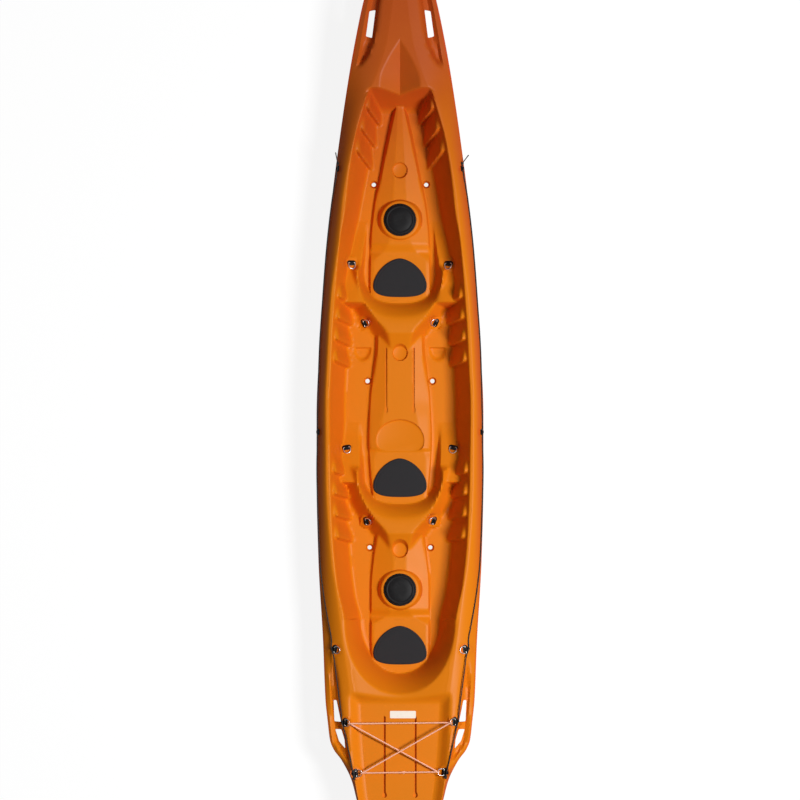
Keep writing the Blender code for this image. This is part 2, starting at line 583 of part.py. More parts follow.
def make_hull():
    """One hollow moulding: the outer skin less the space inside and the holes through it."""
    shell = finish_mesh(skin_of_rings([section_ring(y) for y in stations(HULL_STEP, TIP)]), "hull", ORANGE)
    lighten(shell, HULL_FACES)

    bm = bmesh.new()
    for y in HATCHES.values():
        add_prism(bm, circle(0, y, BOSS_FOOT, 36), BOSS_HEIGHT - BOSS_SKIRT, BOSS_HEIGHT,
                  widen=BOSS_RADIUS / BOSS_FOOT)
    combine(shell, finish_mesh(bm, "hatch_bosses", ORANGE, guide=True), "UNION")

    space = finish_mesh(skin_of_rings([hollow_ring(y) for y in stations(0.040, 2.12)]),
                        "space_inside", ORANGE, guide=True)
    lighten(space, HOLLOW_FACES)
    bm = bmesh.new()
    for x, y in SCUPPERS:
        for side in (-1, 1):
            add_prism(bm, circle(side * x, y, SCUPPER_RADIUS + WALL, 10), -0.05, 0.2)
    combine(space, finish_mesh(bm, "scupper_tubes", ORANGE, guide=True), "DIFFERENCE")
    combine(shell, space, "DIFFERENCE")

    bm = bmesh.new()
    for x, y in SCUPPERS:
        for side in (-1, 1):
            add_prism(bm, circle(side * x, y, SCUPPER_RADIUS, 10), -0.05, 0.2)
    for corners in GRAB_SLOTS.values():
        for side in (-1, 1):
            add_prism(bm, [(side * x, y) for x, y in corners], 0.1, 0.5)
    for y in HATCHES.values():
        add_prism(bm, circle(0, y, HATCH_HOLE, 32), BOSS_HEIGHT - 0.050, BOSS_HEIGHT + 0.05)
    add_prism(bm, circle(0, DRAIN_Y, DRAIN_HOLE, 16), DRAIN_HEIGHT - 0.070, DRAIN_HEIGHT + 0.05)
    for x, y in DIMPLES:
        add_prism(bm, circle(x, y, DIMPLE_RADIUS - 0.005, 20), DIMPLE_FLOOR, DIMPLE_FLOOR + 0.050,
                  widen=1.6)
    combine(shell, finish_mesh(bm, "holes", ORANGE, guide=True), "DIFFERENCE")

    bm = bmesh.new()
    for y in PAD_MIDDLES:
        recess = Matrix.Translation((0, y, PAN_HEIGHT - PAD_RECESS))
        add_prism(bm, pad_outline(32, 1.02), 0.0, 0.030, recess)
    for name, (_, _, radius, _) in SEATS.items():
        add_prism(bm, circle(0, 0, radius, 10), 0.0, 0.012, seat_frame(name, 0))
    combine(shell, finish_mesh(bm, "fitting_seats", ORANGE, guide=True), "DIFFERENCE")
    return shell


hull = make_hull()


def turned(name, look, profile, middle, sides=28):
    """A round piece from its profile of (radius, height), closed on itself, about the Z axis."""
    bm = bmesh.new()
    rows = []
    for radius, height in profile:
        if radius == 0:
            rows.append([bm.verts.new((0, 0, height))])
        else:
            turns = [2 * math.pi * i / sides for i in range(sides)]
            rows.append([bm.verts.new((radius * math.cos(t), radius * math.sin(t), height)) for t in turns])
    pairs = list(zip(rows, rows[1:]))
    if profile[0][0] > 0:
        pairs.append((rows[-1], rows[0]))
    for first, second in pairs:
        for i in range(sides):
            j = (i + 1) % sides
            corners = [first[i % len(first)], first[j % len(first)], second[j % len(second)],
                       second[i % len(second)]]
            corners = [corner for k, corner in enumerate(corners) if corner not in corners[:k]]
            bm.faces.new(corners)
    made = finish_mesh(bm, name, look)
    made.location = middle
    return made


def make_hatch(name, y):
    """A hatch's rim let into the hull, its rubber seal and the lid that closes it."""
    middle = (0, y, BOSS_HEIGHT + GAP)
    rim = [(COLLAR_BORE, -0.026), (COLLAR_RADIUS, -0.026), (COLLAR_RADIUS, 0.0), (FLANGE_RADIUS, 0.0),
           (FLANGE_RADIUS, 0.0035), (FLANGE_RADIUS - 0.0035, 0.0065), (LID_RADIUS + 0.0010, 0.0065),
           (LID_RADIUS + 0.0010, 0.0030), (COLLAR_BORE, 0.0030)]
    turned(name + "_hatch_rim", BLACK, rim, middle)
    radius, height = 0.0648, 0.0050
    section = [(radius + 0.0017 * math.cos(t), height + 0.0017 * math.sin(t))
               for t in [math.pi * (2 * i + 1) / 5 for i in range(5)]]
    turned(name + "_hatch_seal", RUBBER, section, middle)
    lid = [(0, -0.013), (PLUG_RADIUS - 0.002, -0.013), (PLUG_RADIUS, -0.010), (PLUG_RADIUS, 0.0070),
           (LID_RADIUS, 0.0070), (LID_RADIUS, 0.0110), (LID_RADIUS - 0.0030, 0.0130), (0, 0.0130)]
    return turned(name + "_hatch_lid", BLACK, lid, middle)


for name, y in HATCHES.items():
    make_hatch(name, y)


def make_pad(name, y):
    """A thin foam seat pad: a rounded D with a slight crown and drawn-in sides."""
    bm = bmesh.new()
    rings = []
    for scale, height in ((0.985, 0.0), (1.0, 0.0022), (0.992, 0.0050), (0.955, 0.0064), (0.70, 0.0074)):
        rings.append([bm.verts.new((x, along, height)) for x, along in pad_outline(44, scale)])
    for first, second in zip(rings, rings[1:]):
        for i in range(44):
            j = (i + 1) % 44
            bm.faces.new((first[j], first[i], second[i], second[j]))
    bm.faces.new(rings[0])
    top = bm.verts.new((0, 0, 0.0077))
    for i in range(44):
        bm.faces.new((rings[-1][(i + 1) % 44], rings[-1][i], top))
    pad = finish_mesh(bm, name, FOAM)
    pad.location = (0, y, PAN_HEIGHT - PAD_RECESS + GAP)
    return pad


for number, y in enumerate(PAD_MIDDLES, 1):
    make_pad("seat_pad_%d" % number, y)


def tube(name, look, points, radii, sides=8, closed=False):
    """A tube along points, whose rings turn as little as they can on the way."""
    points = [Vector(p) for p in points]
    count = len(points)
    tangents = []
    for i in range(count):
        before = points[i - 1] if closed or i > 0 else points[i]
        after = points[(i + 1) % count] if closed or i < count - 1 else points[i]
        first = (points[i] - before).normalized() if points[i] != before else Vector()
        second = (after - points[i]).normalized() if after != points[i] else Vector()
        tangents.append((first + second).normalized())
    normals = [tangents[0].orthogonal().normalized()]
    for previous, tangent in zip(tangents, tangents[1:]):
        normals.append((previous.rotation_difference(tangent) @ normals[-1]).normalized())
    twist = 0.0
    if closed:
        end = tangents[-1].rotation_difference(tangents[0]) @ normals[-1]
        twist = math.atan2(tangents[0].dot(end.cross(normals[0])), end.dot(normals[0]))
    bm = bmesh.new()
    rows = []
    for i, (point, tangent, normal) in enumerate(zip(points, tangents, normals)):
        other = tangent.cross(normal)
        row = []
        for k in range(sides):
            turn = 2 * math.pi * k / sides + twist * i / count
            row.append(bm.verts.new(point + radii[i] * (normal * math.cos(turn) + other * math.sin(turn))))
        rows.append(row)
    pairs = list(zip(rows, rows[1:]))
    if closed:
        pairs.append((rows[-1], rows[0]))
    for first, second in pairs:
        for k in range(sides):
            m = (k + 1) % sides
            bm.faces.new((first[k], first[m], second[m], second[k]))
    if not closed:
        bm.faces.new(rows[0][::-1])
        bm.faces.new(rows[-1])
    return finish_mesh(bm, name, look)


# Turns a prism that stands upright so that it lies along Y
UPRIGHT = Matrix(((1, 0, 0, 0), (0, 0, -1, 0), (0, 1, 0, 0), (0, 0, 0, 1)))


def add_arch(bm, width, height, length, frame):
    """Add a hump of the given outer width and height, lying along Y."""
    arc = [(width / 2 * math.cos(t), height - width / 2 + width / 2 * math.sin(t))
           for t in [math.pi * i / 6 for i in range(7)]]
    profile = [(width / 2, 0.001)] + arc + [(-width / 2, 0.001)]
    add_prism(bm, profile, -length / 2, length / 2, frame @ UPRIGHT)


def ring_outline():
    """The wire of a D-shaped ring, its bar on the Y axis."""
    half, straight = RING_HALF_WIDTH, RING_REACH - RING_HALF_WIDTH
    path = [(0, -half + 0.004, 0), (0, half - 0.004, 0), (0.004, half, 0), (straight, half, 0)]
    path += [(straight + half * math.sin(t), half * math.cos(t), 0) for t in
             [math.pi * i / 6 for i in range(1, 6)]]
    return path + [(straight, -half, 0), (0.004, -half, 0)]


def make_eye(name, direction, lift, line_angle):
    """A pad eye screwed to the deck, with a loose D ring in its saddle."""
    frame = seat_frame(name, direction)
    foot = frame @ Matrix.Translation((0, 0, GAP))
    bm = bmesh.new()
    add_prism(bm, stadium(EYE_LENGTH, EYE_WIDTH, 5), 0.0, EYE_THICKNESS)
    base = finish_mesh(bm, name + "_eye", BLACK)
    base.matrix_world = foot
    humps = bmesh.new()
    tunnels = bmesh.new()
    add_arch(humps, 0.0096, BAR_HEIGHT + 0.0048, SADDLE_LENGTH, foot)
    add_prism(tunnels, circle(0, BAR_HEIGHT, WIRE_RADIUS + 0.0004, 8), -0.04, 0.04, foot @ UPRIGHT)
    if line_angle is not None:
        turn = Matrix.Rotation(math.radians(line_angle - direction) + math.pi / 2, 4, "Z")
        lobe = foot @ Matrix.Translation((-LINE_OFFSET, 0, 0)) @ turn
        add_prism(humps, circle(0, 0, 0.0085, 12), 0.0, EYE_THICKNESS, lobe)
        add_arch(humps, 0.0100, LINE_HEIGHT + 0.0050, 0.010, lobe)
        add_prism(tunnels, circle(0, LINE_HEIGHT, LINE_RADIUS + 0.0004, 8), -0.007, 0.007, lobe @ UPRIGHT)
    combine(base, finish_mesh(humps, name + "_humps", BLACK, guide=True), "UNION", overlapping=True)
    combine(base, finish_mesh(tunnels, name + "_tunnels", BLACK, guide=True), "DIFFERENCE")

    outline = ring_outline()
    ring = tube(name + "_ring", STEEL, outline, [WIRE_RADIUS] * len(outline), sides=5, closed=True)
    tilt = Matrix.Rotation(math.radians(-lift), 4, "Y")
    ring.matrix_world = foot @ Matrix.Translation((0, 0, BAR_HEIGHT)) @ tilt
    return ring


for name, (x, y, direction) in EYES.items():
    lift, line_angle = RAISED.get(name, 0), LINE_ANGLES.get(name)
    make_eye(name, direction, lift, line_angle)


def make_guide(name, direction):
    """A small saddle that the deck line runs through."""
    frame = seat_frame(name, direction - 90) @ Matrix.Translation((0, 0, GAP))
    bm = bmesh.new()
    add_prism(bm, stadium(0.030, 0.018, 5), 0.0, 0.0025)
    base = finish_mesh(bm, name, BLACK)
    base.matrix_world = frame
    bm = bmesh.new()
    add_arch(bm, 0.0110, LINE_HEIGHT + 0.0055, 0.014, frame)
    combine(base, finish_mesh(bm, name + "_hump", BLACK, guide=True), "UNION")
    bm = bmesh.new()
    add_prism(bm, circle(0, LINE_HEIGHT, LINE_RADIUS + 0.0004, 8), -0.02, 0.02, frame @ UPRIGHT)
    combine(base, finish_mesh(bm, name + "_tunnel", BLACK, guide=True), "DIFFERENCE")


for name, direction in GUIDE_ANGLES.items():
    make_guide(name, direction)


def over_deck(x, y, lift):
    """A point above the deck, the given distance out of it."""
    step = 0.002
    xs = np.array([x, x + step, x - step, x, x])
    ys = np.array([y, y, y, y + step, y - step])
    zs = deck_height(xs, ys)
    out = Vector((-(zs[1] - zs[2]) / (2 * step), -(zs[3] - zs[4]) / (2 * step), 1)).normalized()
    return Vector((x, y, zs[0])) + out * lift


def tunnel_ends(name, direction, offset, line_angle, reach):
    """The two ends of the straight piece of line in a fitting's tunnel, bow end first."""
    frame = seat_frame(name, direction) @ Matrix.Translation((-offset, 0, GAP + LINE_HEIGHT))
    turn = Matrix.Rotation(math.radians(line_angle - direction) + math.pi / 2, 4, "Z")
    ends = [frame @ turn @ Vector((0, along, 0)) for along in (-reach, reach)]
    return sorted(ends, key=lambda end: -end.y)


def above_deck(x, y, lift):
    """A point straight above the highest deck close by on either side."""
    xs = x + np.linspace(-0.012, 0.012, 7)
    return Vector((x, y, deck_height(xs, np.full_like(xs, y)).max() + lift))


def line_way(way, side, place):
    """Points over the deck along one of the line's free ways, close enough to follow its curve."""
    count = int((way[0][1] - way[-1][1]) / LINE_STEP) + 2
    ys = np.linspace(way[0][1], way[-1][1], count)
    breadths = through([(y, x) for x, y in way[::-1]], ys)
    return [place(side * x, y, LINE_LIFT) for x, y in zip(breadths, ys)]


def make_line(side_name, side):
    """The deck line of one side, knotted at its bow guide and its last eye."""
    guides = ["guide_bow_" + side_name, "guide_middle_" + side_name]
    bow, middle = [tunnel_ends(name, GUIDE_ANGLES[name] - 90, 0, GUIDE_ANGLES[name], 0.010) for name in guides]
    eyes = [tunnel_ends(name + "_" + side_name, EYES[name + "_" + side_name][2], LINE_OFFSET,
                        LINE_ANGLES[name + "_" + side_name], 0.009)
            for name in ("seat3", "tank_front", "tank_aft")]
    fore = (bow[0] - bow[1]).normalized()
    aft = (eyes[2][1] - eyes[2][0]).normalized()
    path = [bow[0] + fore * along for along in KNOT[::-1]] + bow
    radii = [0.0035, 0.0058, 0.0035] + [LINE_RADIUS] * 2
    path += line_way(LINE_FORE, side, over_deck) + middle + line_way(LINE_AFT, side, over_deck) + eyes[0]
    path += line_way(LINE_SLOTS, side, above_deck) + eyes[1] + line_way(LINE_TANK, side, above_deck) + eyes[2]
    radii += [LINE_RADIUS] * (len(path) - len(radii))
    path += [eyes[2][1] + aft * along for along in KNOT]
    radii += [0.0035, 0.0058, 0.0035]
    return tube(side_name + "_deck_line", LINE, path, radii, sides=6)


make_line("port", -1)
make_line("starboard", 1)


def ring_tip(name):
    """The middle of a raised ring's round end, and the direction that the ring points in."""
    frame = seat_frame(name, EYES[name][2]) @ Matrix.Translation((0, 0, GAP + BAR_HEIGHT))
    frame = frame @ Matrix.Rotation(math.radians(-RAISED[name]), 4, "Y")
    tip = frame @ Vector((RING_REACH, 0, 0))
    along = frame.to_3x3() @ Vector((1, 0, 0))
    return tip, along


def make_cargo_cord():
    """The elastic cord laced between the four raised rings, crossing once, with a knot aft."""
    order = ("tank_front_port", "tank_front_starboard", "tank_aft_port", "tank_aft_starboard")
    tips = [ring_tip(name) for name in order]
    loops = []
    turn_radius = CORD_RADIUS + WIRE_RADIUS + 0.0006
    for i, (tip, along) in enumerate(tips):
        flat = Vector((along.x, along.y, 0)).normalized()
        up = Vector((0, 0, 1))
        turns = [math.pi * k / 4 for k in range(5)]
        loop = [tip + turn_radius * (up * math.cos(t) - flat * math.sin(t)) for t in turns]
        loops.append(loop[::-1] if i < 2 else loop)
    start, end = loops[2][-1], loops[3][0]
    along = (end - start).normalized()
    knot = [start.lerp(end, 0.55) + along * part for part in (-0.011, -0.005, 0.005, 0.011)]
    path = loops[0] + loops[1] + loops[2] + knot + loops[3]
    radii = [CORD_RADIUS] * len(path)
    radii[16:18] = [CORD_RADIUS * 1.7] * 2
    return tube("cargo_cord", ELASTIC, path, radii, sides=8, closed=True)


make_cargo_cord()


def make_drain():
    """The drain's bush in the stern deck and the plug screwed into it."""
    middle = (0, DRAIN_Y, DRAIN_HEIGHT + GAP)
    bush = [(0.0090, -0.022), (DRAIN_HOLE - 0.0005, -0.022), (DRAIN_HOLE - 0.0005, 0.0), (0.0190, 0.0),
            (0.0190, 0.0015), (0.0175, 0.0030), (0.0090, 0.0030)]
    turned("drain_bush", BLACK, bush, middle, sides=20)
    plug = [(0, -0.016), (0.0076, -0.016), (0.0086, -0.014), (0.0086, 0.0033), (0.0125, 0.0033),
            (0.0125, 0.0080), (0.0110, 0.0095), (0, 0.0095)]
    turned("drain_plug", BLACK, plug, middle, sides=20)


make_drain()
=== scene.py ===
# %% [markdown]
# A three-seat sit-on-top kayak, seen from straight above
#
# The real boat is one hollow moulding of polyethylene. Everything else is fitted to it: three foam
# seat pads, two round hatches, pad eyes with steel rings, a deck line down each side and an elastic
# cord over the tank well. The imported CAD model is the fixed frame, and each piece made here sits
# where its CAD solid sits. Lengths are in metres, +Y is the bow, +X is starboard and +Z is up.

# %% The frame and its size
import json
import math

import bmesh
import bpy
import numpy as np
from mathutils import Matrix, Vector

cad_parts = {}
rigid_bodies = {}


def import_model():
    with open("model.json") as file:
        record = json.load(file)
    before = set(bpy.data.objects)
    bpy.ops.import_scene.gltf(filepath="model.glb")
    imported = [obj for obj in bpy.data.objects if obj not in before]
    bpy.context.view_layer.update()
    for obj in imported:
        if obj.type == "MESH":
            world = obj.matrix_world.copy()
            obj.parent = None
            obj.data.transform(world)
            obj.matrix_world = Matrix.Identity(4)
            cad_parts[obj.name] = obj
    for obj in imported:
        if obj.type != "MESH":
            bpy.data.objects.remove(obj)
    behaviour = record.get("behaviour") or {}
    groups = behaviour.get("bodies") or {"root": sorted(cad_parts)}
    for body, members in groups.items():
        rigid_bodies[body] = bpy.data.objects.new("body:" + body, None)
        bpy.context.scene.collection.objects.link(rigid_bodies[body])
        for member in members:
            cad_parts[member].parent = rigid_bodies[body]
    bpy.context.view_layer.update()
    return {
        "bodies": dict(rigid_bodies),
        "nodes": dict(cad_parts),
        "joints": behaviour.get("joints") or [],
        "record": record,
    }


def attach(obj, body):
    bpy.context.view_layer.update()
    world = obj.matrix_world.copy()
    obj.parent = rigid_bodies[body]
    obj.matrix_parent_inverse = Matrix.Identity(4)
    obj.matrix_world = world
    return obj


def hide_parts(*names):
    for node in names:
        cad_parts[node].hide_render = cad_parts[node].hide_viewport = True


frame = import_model()


# %% [markdown]
# The camera and the studio
#
# The photograph looks straight down, so near the middle it shows no side of the hull, and both ends
# are cut off. A long lens from 40 m away gives the same flat view. The light is one wide soft lamp
# on the starboard side, 60 degrees up, with a dim sky around it: floors and the walls that face the
# lamp are bright, and the walls that turn from it are dark. The floor and sky look white to the
# camera only, so that they don't wash out the colours.

# %% Camera
VIEW_WIDTH = 3.832
VIEW_HEIGHT = 40.0
VIEW_MIDDLE, DECK_LEVEL = 0.024, 0.22
SENSOR = 36

camera_data = bpy.data.cameras.new("camera")
camera_data.sensor_width = SENSOR
camera_data.lens = SENSOR / 2 / (VIEW_WIDTH / 2 / VIEW_HEIGHT)
camera = bpy.data.objects.new("camera", camera_data)
camera.location = (0.0, VIEW_MIDDLE, DECK_LEVEL + VIEW_HEIGHT)
bpy.context.collection.objects.link(camera)
bpy.context.scene.camera = camera
bpy.context.scene.view_settings.view_transform = "Standard"


# %% Lamps and sky


def add_lamp(name, place, target, size, power):
    """A square soft lamp that faces a target."""
    lamp = bpy.data.lights.new(name, "AREA")
    lamp.shape = "RECTANGLE"
    lamp.size, lamp.size_y = size
    lamp.energy = power
    made = bpy.data.objects.new(name, lamp)
    made.location = place
    made.rotation_euler = (Vector(target) - Vector(place)).to_track_quat("-Z", "Y").to_euler()
    bpy.context.collection.objects.link(made)
    return made


add_lamp("key", (4.6, -1.2, 8.2), (0, -0.2, 0.2), (1.6, 2.4), 850)
add_lamp("fill", (-5.0, 2.0, 7.0), (0, 0, 0.2), (4.0, 4.0), 45)

world = bpy.data.worlds.new("sky")
world.use_nodes = True
bpy.context.scene.world = world
sky = world.node_tree
path = sky.nodes.new("ShaderNodeLightPath")
dim = sky.nodes["Background"]
dim.inputs["Color"].default_value = (1, 1, 1, 1)
dim.inputs["Strength"].default_value = 0.07
white = sky.nodes.new("ShaderNodeBackground")
pick = sky.nodes.new("ShaderNodeMixShader")
sky.links.new(path.outputs["Is Camera Ray"], pick.inputs[0])
sky.links.new(dim.outputs[0], pick.inputs[1])
sky.links.new(white.outputs[0], pick.inputs[2])
sky.links.new(pick.outputs[0], sky.nodes["World Output"].inputs["Surface"])


# %% [markdown]
# Materials as expressions
#
# A material's numbers flow through nodes. Writing each node and link by hand hides the idea, so one
# small class wraps an output socket and lets + - * add the Math nodes. Any other node comes from
# one method that takes its kind, its settings and what feeds it.

# %% Node helpers


class Flow:
    """One output of a material's nodes; sums and products with it add Math nodes."""

    def __init__(self, finish, socket):
        self.finish, self.socket = finish, socket

    def maths(self, operation, first, second):
        return self.finish.add("Math", {"operation": operation}, {0: first, 1: second})

    def __add__(self, other):
        return self.maths("ADD", self, other)

    def __radd__(self, other):
        return self.maths("ADD", other, self)

    def __sub__(self, other):
        return self.maths("SUBTRACT", self, other)

    def __rsub__(self, other):
        return self.maths("SUBTRACT", other, self)

    def __mul__(self, other):
        return self.maths("MULTIPLY", self, other)

    def __rmul__(self, other):
        return self.maths("MULTIPLY", other, self)

    def sine(self):
        return self.maths("SINE", self, 0.0)

    def between(self, low, high):
        """0 below low, 1 above high and smooth in between."""
        return self.finish.add("MapRange", {"interpolation_type": "SMOOTHSTEP"},
                               {"Value": self, "From Min": low, "From Max": high})


# %% One class for a material


class Finish:
    """A material being made, with its Principled shader."""

    def __init__(self, name, colour, roughness, **plain):
        self.material = bpy.data.materials.new(name)
        self.material.use_nodes = True
        self.tree = self.material.node_tree
        self.shader = self.tree.nodes["Principled BSDF"]
        self.shader.inputs["Base Color"].default_value = (*colour, 1)
        self.shader.inputs["Roughness"].default_value = roughness
        for socket, value in plain.items():
            self.shader.inputs[socket.replace("_", " ")].default_value = value
        self.place = self.add("TexCoord", output="Object")

    def add(self, kind, settings=None, inputs=None, output=0):
        node = self.tree.nodes.new("ShaderNode" + kind)
        for name, value in (settings or {}).items():
            setattr(node, name, value)
        for name, value in (inputs or {}).items():
            self.feed(node.inputs[name], value)
        return Flow(self, node.outputs[output])

    def feed(self, socket, value):
        if isinstance(value, Flow):
            self.tree.links.new(value.socket, socket)
        else:
            socket.default_value = value

    def noise(self, scale, detail=3.0, roughness=0.5, where=None):
        return self.add("TexNoise", None, {"Vector": where or self.place, "Scale": scale,
                                           "Detail": detail, "Roughness": roughness})

    def blend(self, share, first, second):
        """The first colour where share is 0 and the second where it is 1."""
        colours = [c if isinstance(c, Flow) else (*c, 1) for c in (first, second)]
        return self.add("Mix", {"data_type": "RGBA"}, {0: share, 6: colours[0], 7: colours[1]}, output=2)

    def bump(self, height, distance, strength=1.0):
        bump = self.add("Bump", None, {"Height": height, "Distance": distance, "Strength": strength})
        self.feed(self.shader.inputs["Normal"], bump)

    def set(self, socket, value):
        self.feed(self.shader.inputs[socket], value)


# %% [markdown]
# Moulded polyethylene
#
# The plastic is tumbled in the mould as powder, so its colour is in it all through, with a faint
# cloudiness. The photograph shows it a deeper orange towards the bow. The skin has a fine grain and
# a satin gloss that is duller where the deck is walked and sat on. Steep walls are painted a darker
# red as painted shade, most of all outside the rails; each point's share of it is kept in the mesh as
# an attribute.

# %% Hull plastic


def make_hull_finish():
    finish = Finish("orange_hull", (0.72, 0.17, 0.01), 0.42, Specular_IOR_Level=0.13)
    split = finish.add("SeparateXYZ", None, {0: finish.place}, output="Y")
    cloud = finish.noise(3.0, 4.0)
    forward = (split + cloud * 0.7 - 0.35).between(0.6, 1.9)
    steep_shade = finish.add("Attribute", {"attribute_name": "steep_shade"}, output="Fac")
    deep = finish.blend(forward * 0.9, (0.76, 0.206, 0.004), (0.46, 0.068, 0.010))
    # Steep walls are painted a darker red here, as painted shade.
    colour = finish.blend(steep_shade * 0.95, deep, (0.66, 0.046, 0.010))
    speck = finish.noise(420.0, 2.0).between(0.66, 0.76)
    colour = finish.blend(speck * 0.10, colour, (0.80, 0.33, 0.06))
    finish.set("Base Color", colour)
    worn = finish.noise(9.0, 5.0, 0.6)
    finish.set("Roughness", 0.37 + worn * 0.12)
    grain = finish.noise(900.0, 2.0) * 0.5 + finish.noise(160.0, 3.0)
    finish.bump(grain, 0.00025, 0.6)
    return finish.material


HULL_PLASTIC = make_hull_finish()


# %% [markdown]
# The fittings' plastic, foam, rubber, steel and film
#
# The eyes, guides and hatches are black nylon with a fine pebble grain, and the pads are
# closed-cell foam. The hatch seal is dull rubber, the rings and screws are stainless steel with hair
# scratches, and the plate is a film. One noise varies the colour and the roughness of each.

# %% Fittings' finishes


def make_mottled(name, noise, edges, dark, light, smooth, spread, **plain):
    """A finish that one noise varies: its colour from dark to light, its roughness up from smooth.

    Edges, where given, sharpen the patches of colour.
    """
    finish = Finish(name, light, smooth, **plain)
    mottle = finish.noise(*noise)
    share = mottle.between(*edges) if edges else mottle
    finish.set("Base Color", finish.blend(share, dark, light))
    finish.set("Roughness", smooth + mottle * spread)
    return finish


def make_steel(name, dull, bright, smooth):
    return make_mottled(name, (700.0, 4.0, 0.7), None, dull, bright, smooth, 0.16, Metallic=1.0).material


nylon = make_mottled("black_plastic", (60.0, 4.0, 0.6), (0.45, 0.75), (0.007, 0.0066, 0.0075),
                     (0.012, 0.0115, 0.0125), 0.42, 0.18, Specular_IOR_Level=0.18)
nylon.bump(nylon.noise(1500.0, 2.0), 0.0001, 0.5)
foam = make_mottled("seat_foam", (38.0, 3.0), None, (0.021, 0.021, 0.023), (0.028, 0.027, 0.030),
                    0.72, 0.16, Specular_IOR_Level=0.20)
foam.bump(foam.add("TexVoronoi", None, {"Vector": foam.place, "Scale": 520.0}), 0.0004, 0.5)
BLACK_PLASTIC, FOAM = nylon.material, foam.material
RUBBER = make_mottled("rubber", (90.0, 3.0), (0.5, 0.8), (0.020, 0.020, 0.020), (0.045, 0.043, 0.041),
                      0.66, 0.20).material
STEEL = make_steel("stainless", (0.80, 0.79, 0.78), (0.93, 0.92, 0.91), 0.30)
SCREW_STEEL = make_steel("dull_stainless", (0.24, 0.23, 0.23), (0.34, 0.33, 0.32), 0.40)
LABEL_FILM = make_mottled("label_film", (55.0, 4.0), (0.45, 0.8), (0.95, 0.87, 0.76), (0.88, 0.79, 0.67),
                          0.30, 0.15).material
print("finishes", [made.name for made in (
    HULL_PLASTIC, BLACK_PLASTIC, FOAM, RUBBER, STEEL, SCREW_STEEL, LABEL_FILM)])


# %% [markdown]
# Braided cord
#
# A braid is two sets of strands that wind round the cord in opposite ways. On a tube whose UV map
# runs round it in U and along it in V, each set is a sine of U plus or minus V, and where they
# cross, one strand is on top. V is in turns of the braid, so the strands keep their size on any
# length of cord.

# %% Cord finishes


def make_braid(name, dark, light, roughness, strands):
    finish = Finish(name, dark, roughness)
    where = finish.add("UVMap")
    u, v = [finish.add("SeparateXYZ", None, {0: where}, output=axis) for axis in "XY"]
    turn = 2 * math.pi
    left = ((u * strands + v) * turn).sine()
    right = ((u * strands - v) * turn).sine()
    weave = finish.add("Math", {"operation": "MAXIMUM"}, {0: left, 1: right})
    shade = weave.between(-0.6, 0.9)
    # The hollows between strands are painted darker and the strands on top lighter: painted shade that
    # follows the bump.
    finish.set("Base Color", finish.blend(shade, dark, light))
    finish.bump(shade, 0.0004, 0.8)
    finish.set("Roughness", roughness - 0.1 * shade)
    return finish.material


LINE = make_braid("deck_line", (0.010, 0.010, 0.010), (0.030, 0.028, 0.028), 0.85, 4)
ELASTIC = make_braid("elastic_cord", (0.92, 0.34, 0.19), (1.0, 0.56, 0.40), 0.75, 4)
print("braids", LINE.name, ELASTIC.name)


# %% Floor


def make_floor():
    """A pale floor, which looks white to the camera alone."""
    bpy.ops.object.select_all(action="DESELECT")
    bpy.ops.mesh.primitive_plane_add(size=60, location=(0, 0, -0.002))
    floor = bpy.context.object
    floor.name = "floor"
    finish = Finish("studio_floor", (0.8, 0.8, 0.8), 0.9)
    seen = finish.add("LightPath", output="Is Camera Ray")
    glow = finish.add("Emission", None, {"Color": (1, 1, 1, 1), "Strength": 0.88})
    dull = finish.add("BsdfDiffuse", None, {"Color": (0.16, 0.16, 0.16, 1)})
    both = finish.add("AddShader", None, {0: glow, 1: dull})
    dark = finish.add("BsdfDiffuse", None, {"Color": (0.35, 0.35, 0.35, 1)})
    mixed = finish.add("MixShader", None, {0: seen, 1: dark, 2: both})
    finish.feed(finish.tree.nodes["Material Output"].inputs["Surface"], mixed)
    floor.data.materials.append(finish.material)


make_floor()


# %% [markdown]
# The hull's lines
#
# A boat is drawn with a few long lines: how broad it is and how high its edge, its rail and its
# keel are at each place along it. Every section is worked out from these lines, so the deck stays
# fair from stern to bow. Each table holds (distance forward of the middle, value) pairs, and the
# other tables say where the seats, the hatches and the fittings are.

# %% Hull lines
# Room left between two pieces that touch
GAP = 0.0003
# Distance from the middle to either tip
TIP = 2.25
EDGE_BREADTH = [
    (-2.25, 0.0), (-2.235, 0.06), (-2.18, 0.112), (-2.05, 0.165), (-1.887, 0.208), (-1.796, 0.232),
    (-1.70, 0.280), (-1.65, 0.317), (-1.605, 0.335), (-1.509, 0.347), (-1.413, 0.357), (-1.126, 0.369),
    (-0.742, 0.391), (-0.35, 0.400), (-0.05, 0.400), (0.216, 0.390), (0.599, 0.366), (0.982, 0.327),
    (1.269, 0.290), (1.557, 0.247), (1.748, 0.213), (1.94, 0.172), (2.10, 0.122), (2.20, 0.075),
    (2.24, 0.035), (2.25, 0.0)]
CREST_BREADTH = [
    (-2.25, 0.0), (-2.18, 0.08), (-2.05, 0.145), (-1.887, 0.192), (-1.70, 0.215), (-1.605, 0.223),
    (-1.413, 0.236), (-1.126, 0.274), (-0.886, 0.306), (-0.742, 0.328), (-0.35, 0.352), (0.024, 0.354),
    (0.216, 0.346), (0.503, 0.330), (0.790, 0.292), (0.982, 0.273), (1.221, 0.232), (1.413, 0.184),
    (1.557, 0.120), (1.748, 0.060), (2.25, 0.0)]
CREST_HEIGHT = [
    (-2.25, 0.300), (-1.9, 0.292), (-1.4, 0.283), (-0.9, 0.278), (0.0, 0.282), (0.9, 0.296),
    (1.4, 0.316), (1.75, 0.336), (2.25, 0.345)]
EDGE_HEIGHT = [
    (-2.25, 0.270), (-1.9, 0.250), (-1.5, 0.228), (-0.9, 0.205), (0.0, 0.198), (0.9, 0.212),
    (1.4, 0.242), (1.75, 0.290), (2.25, 0.318)]
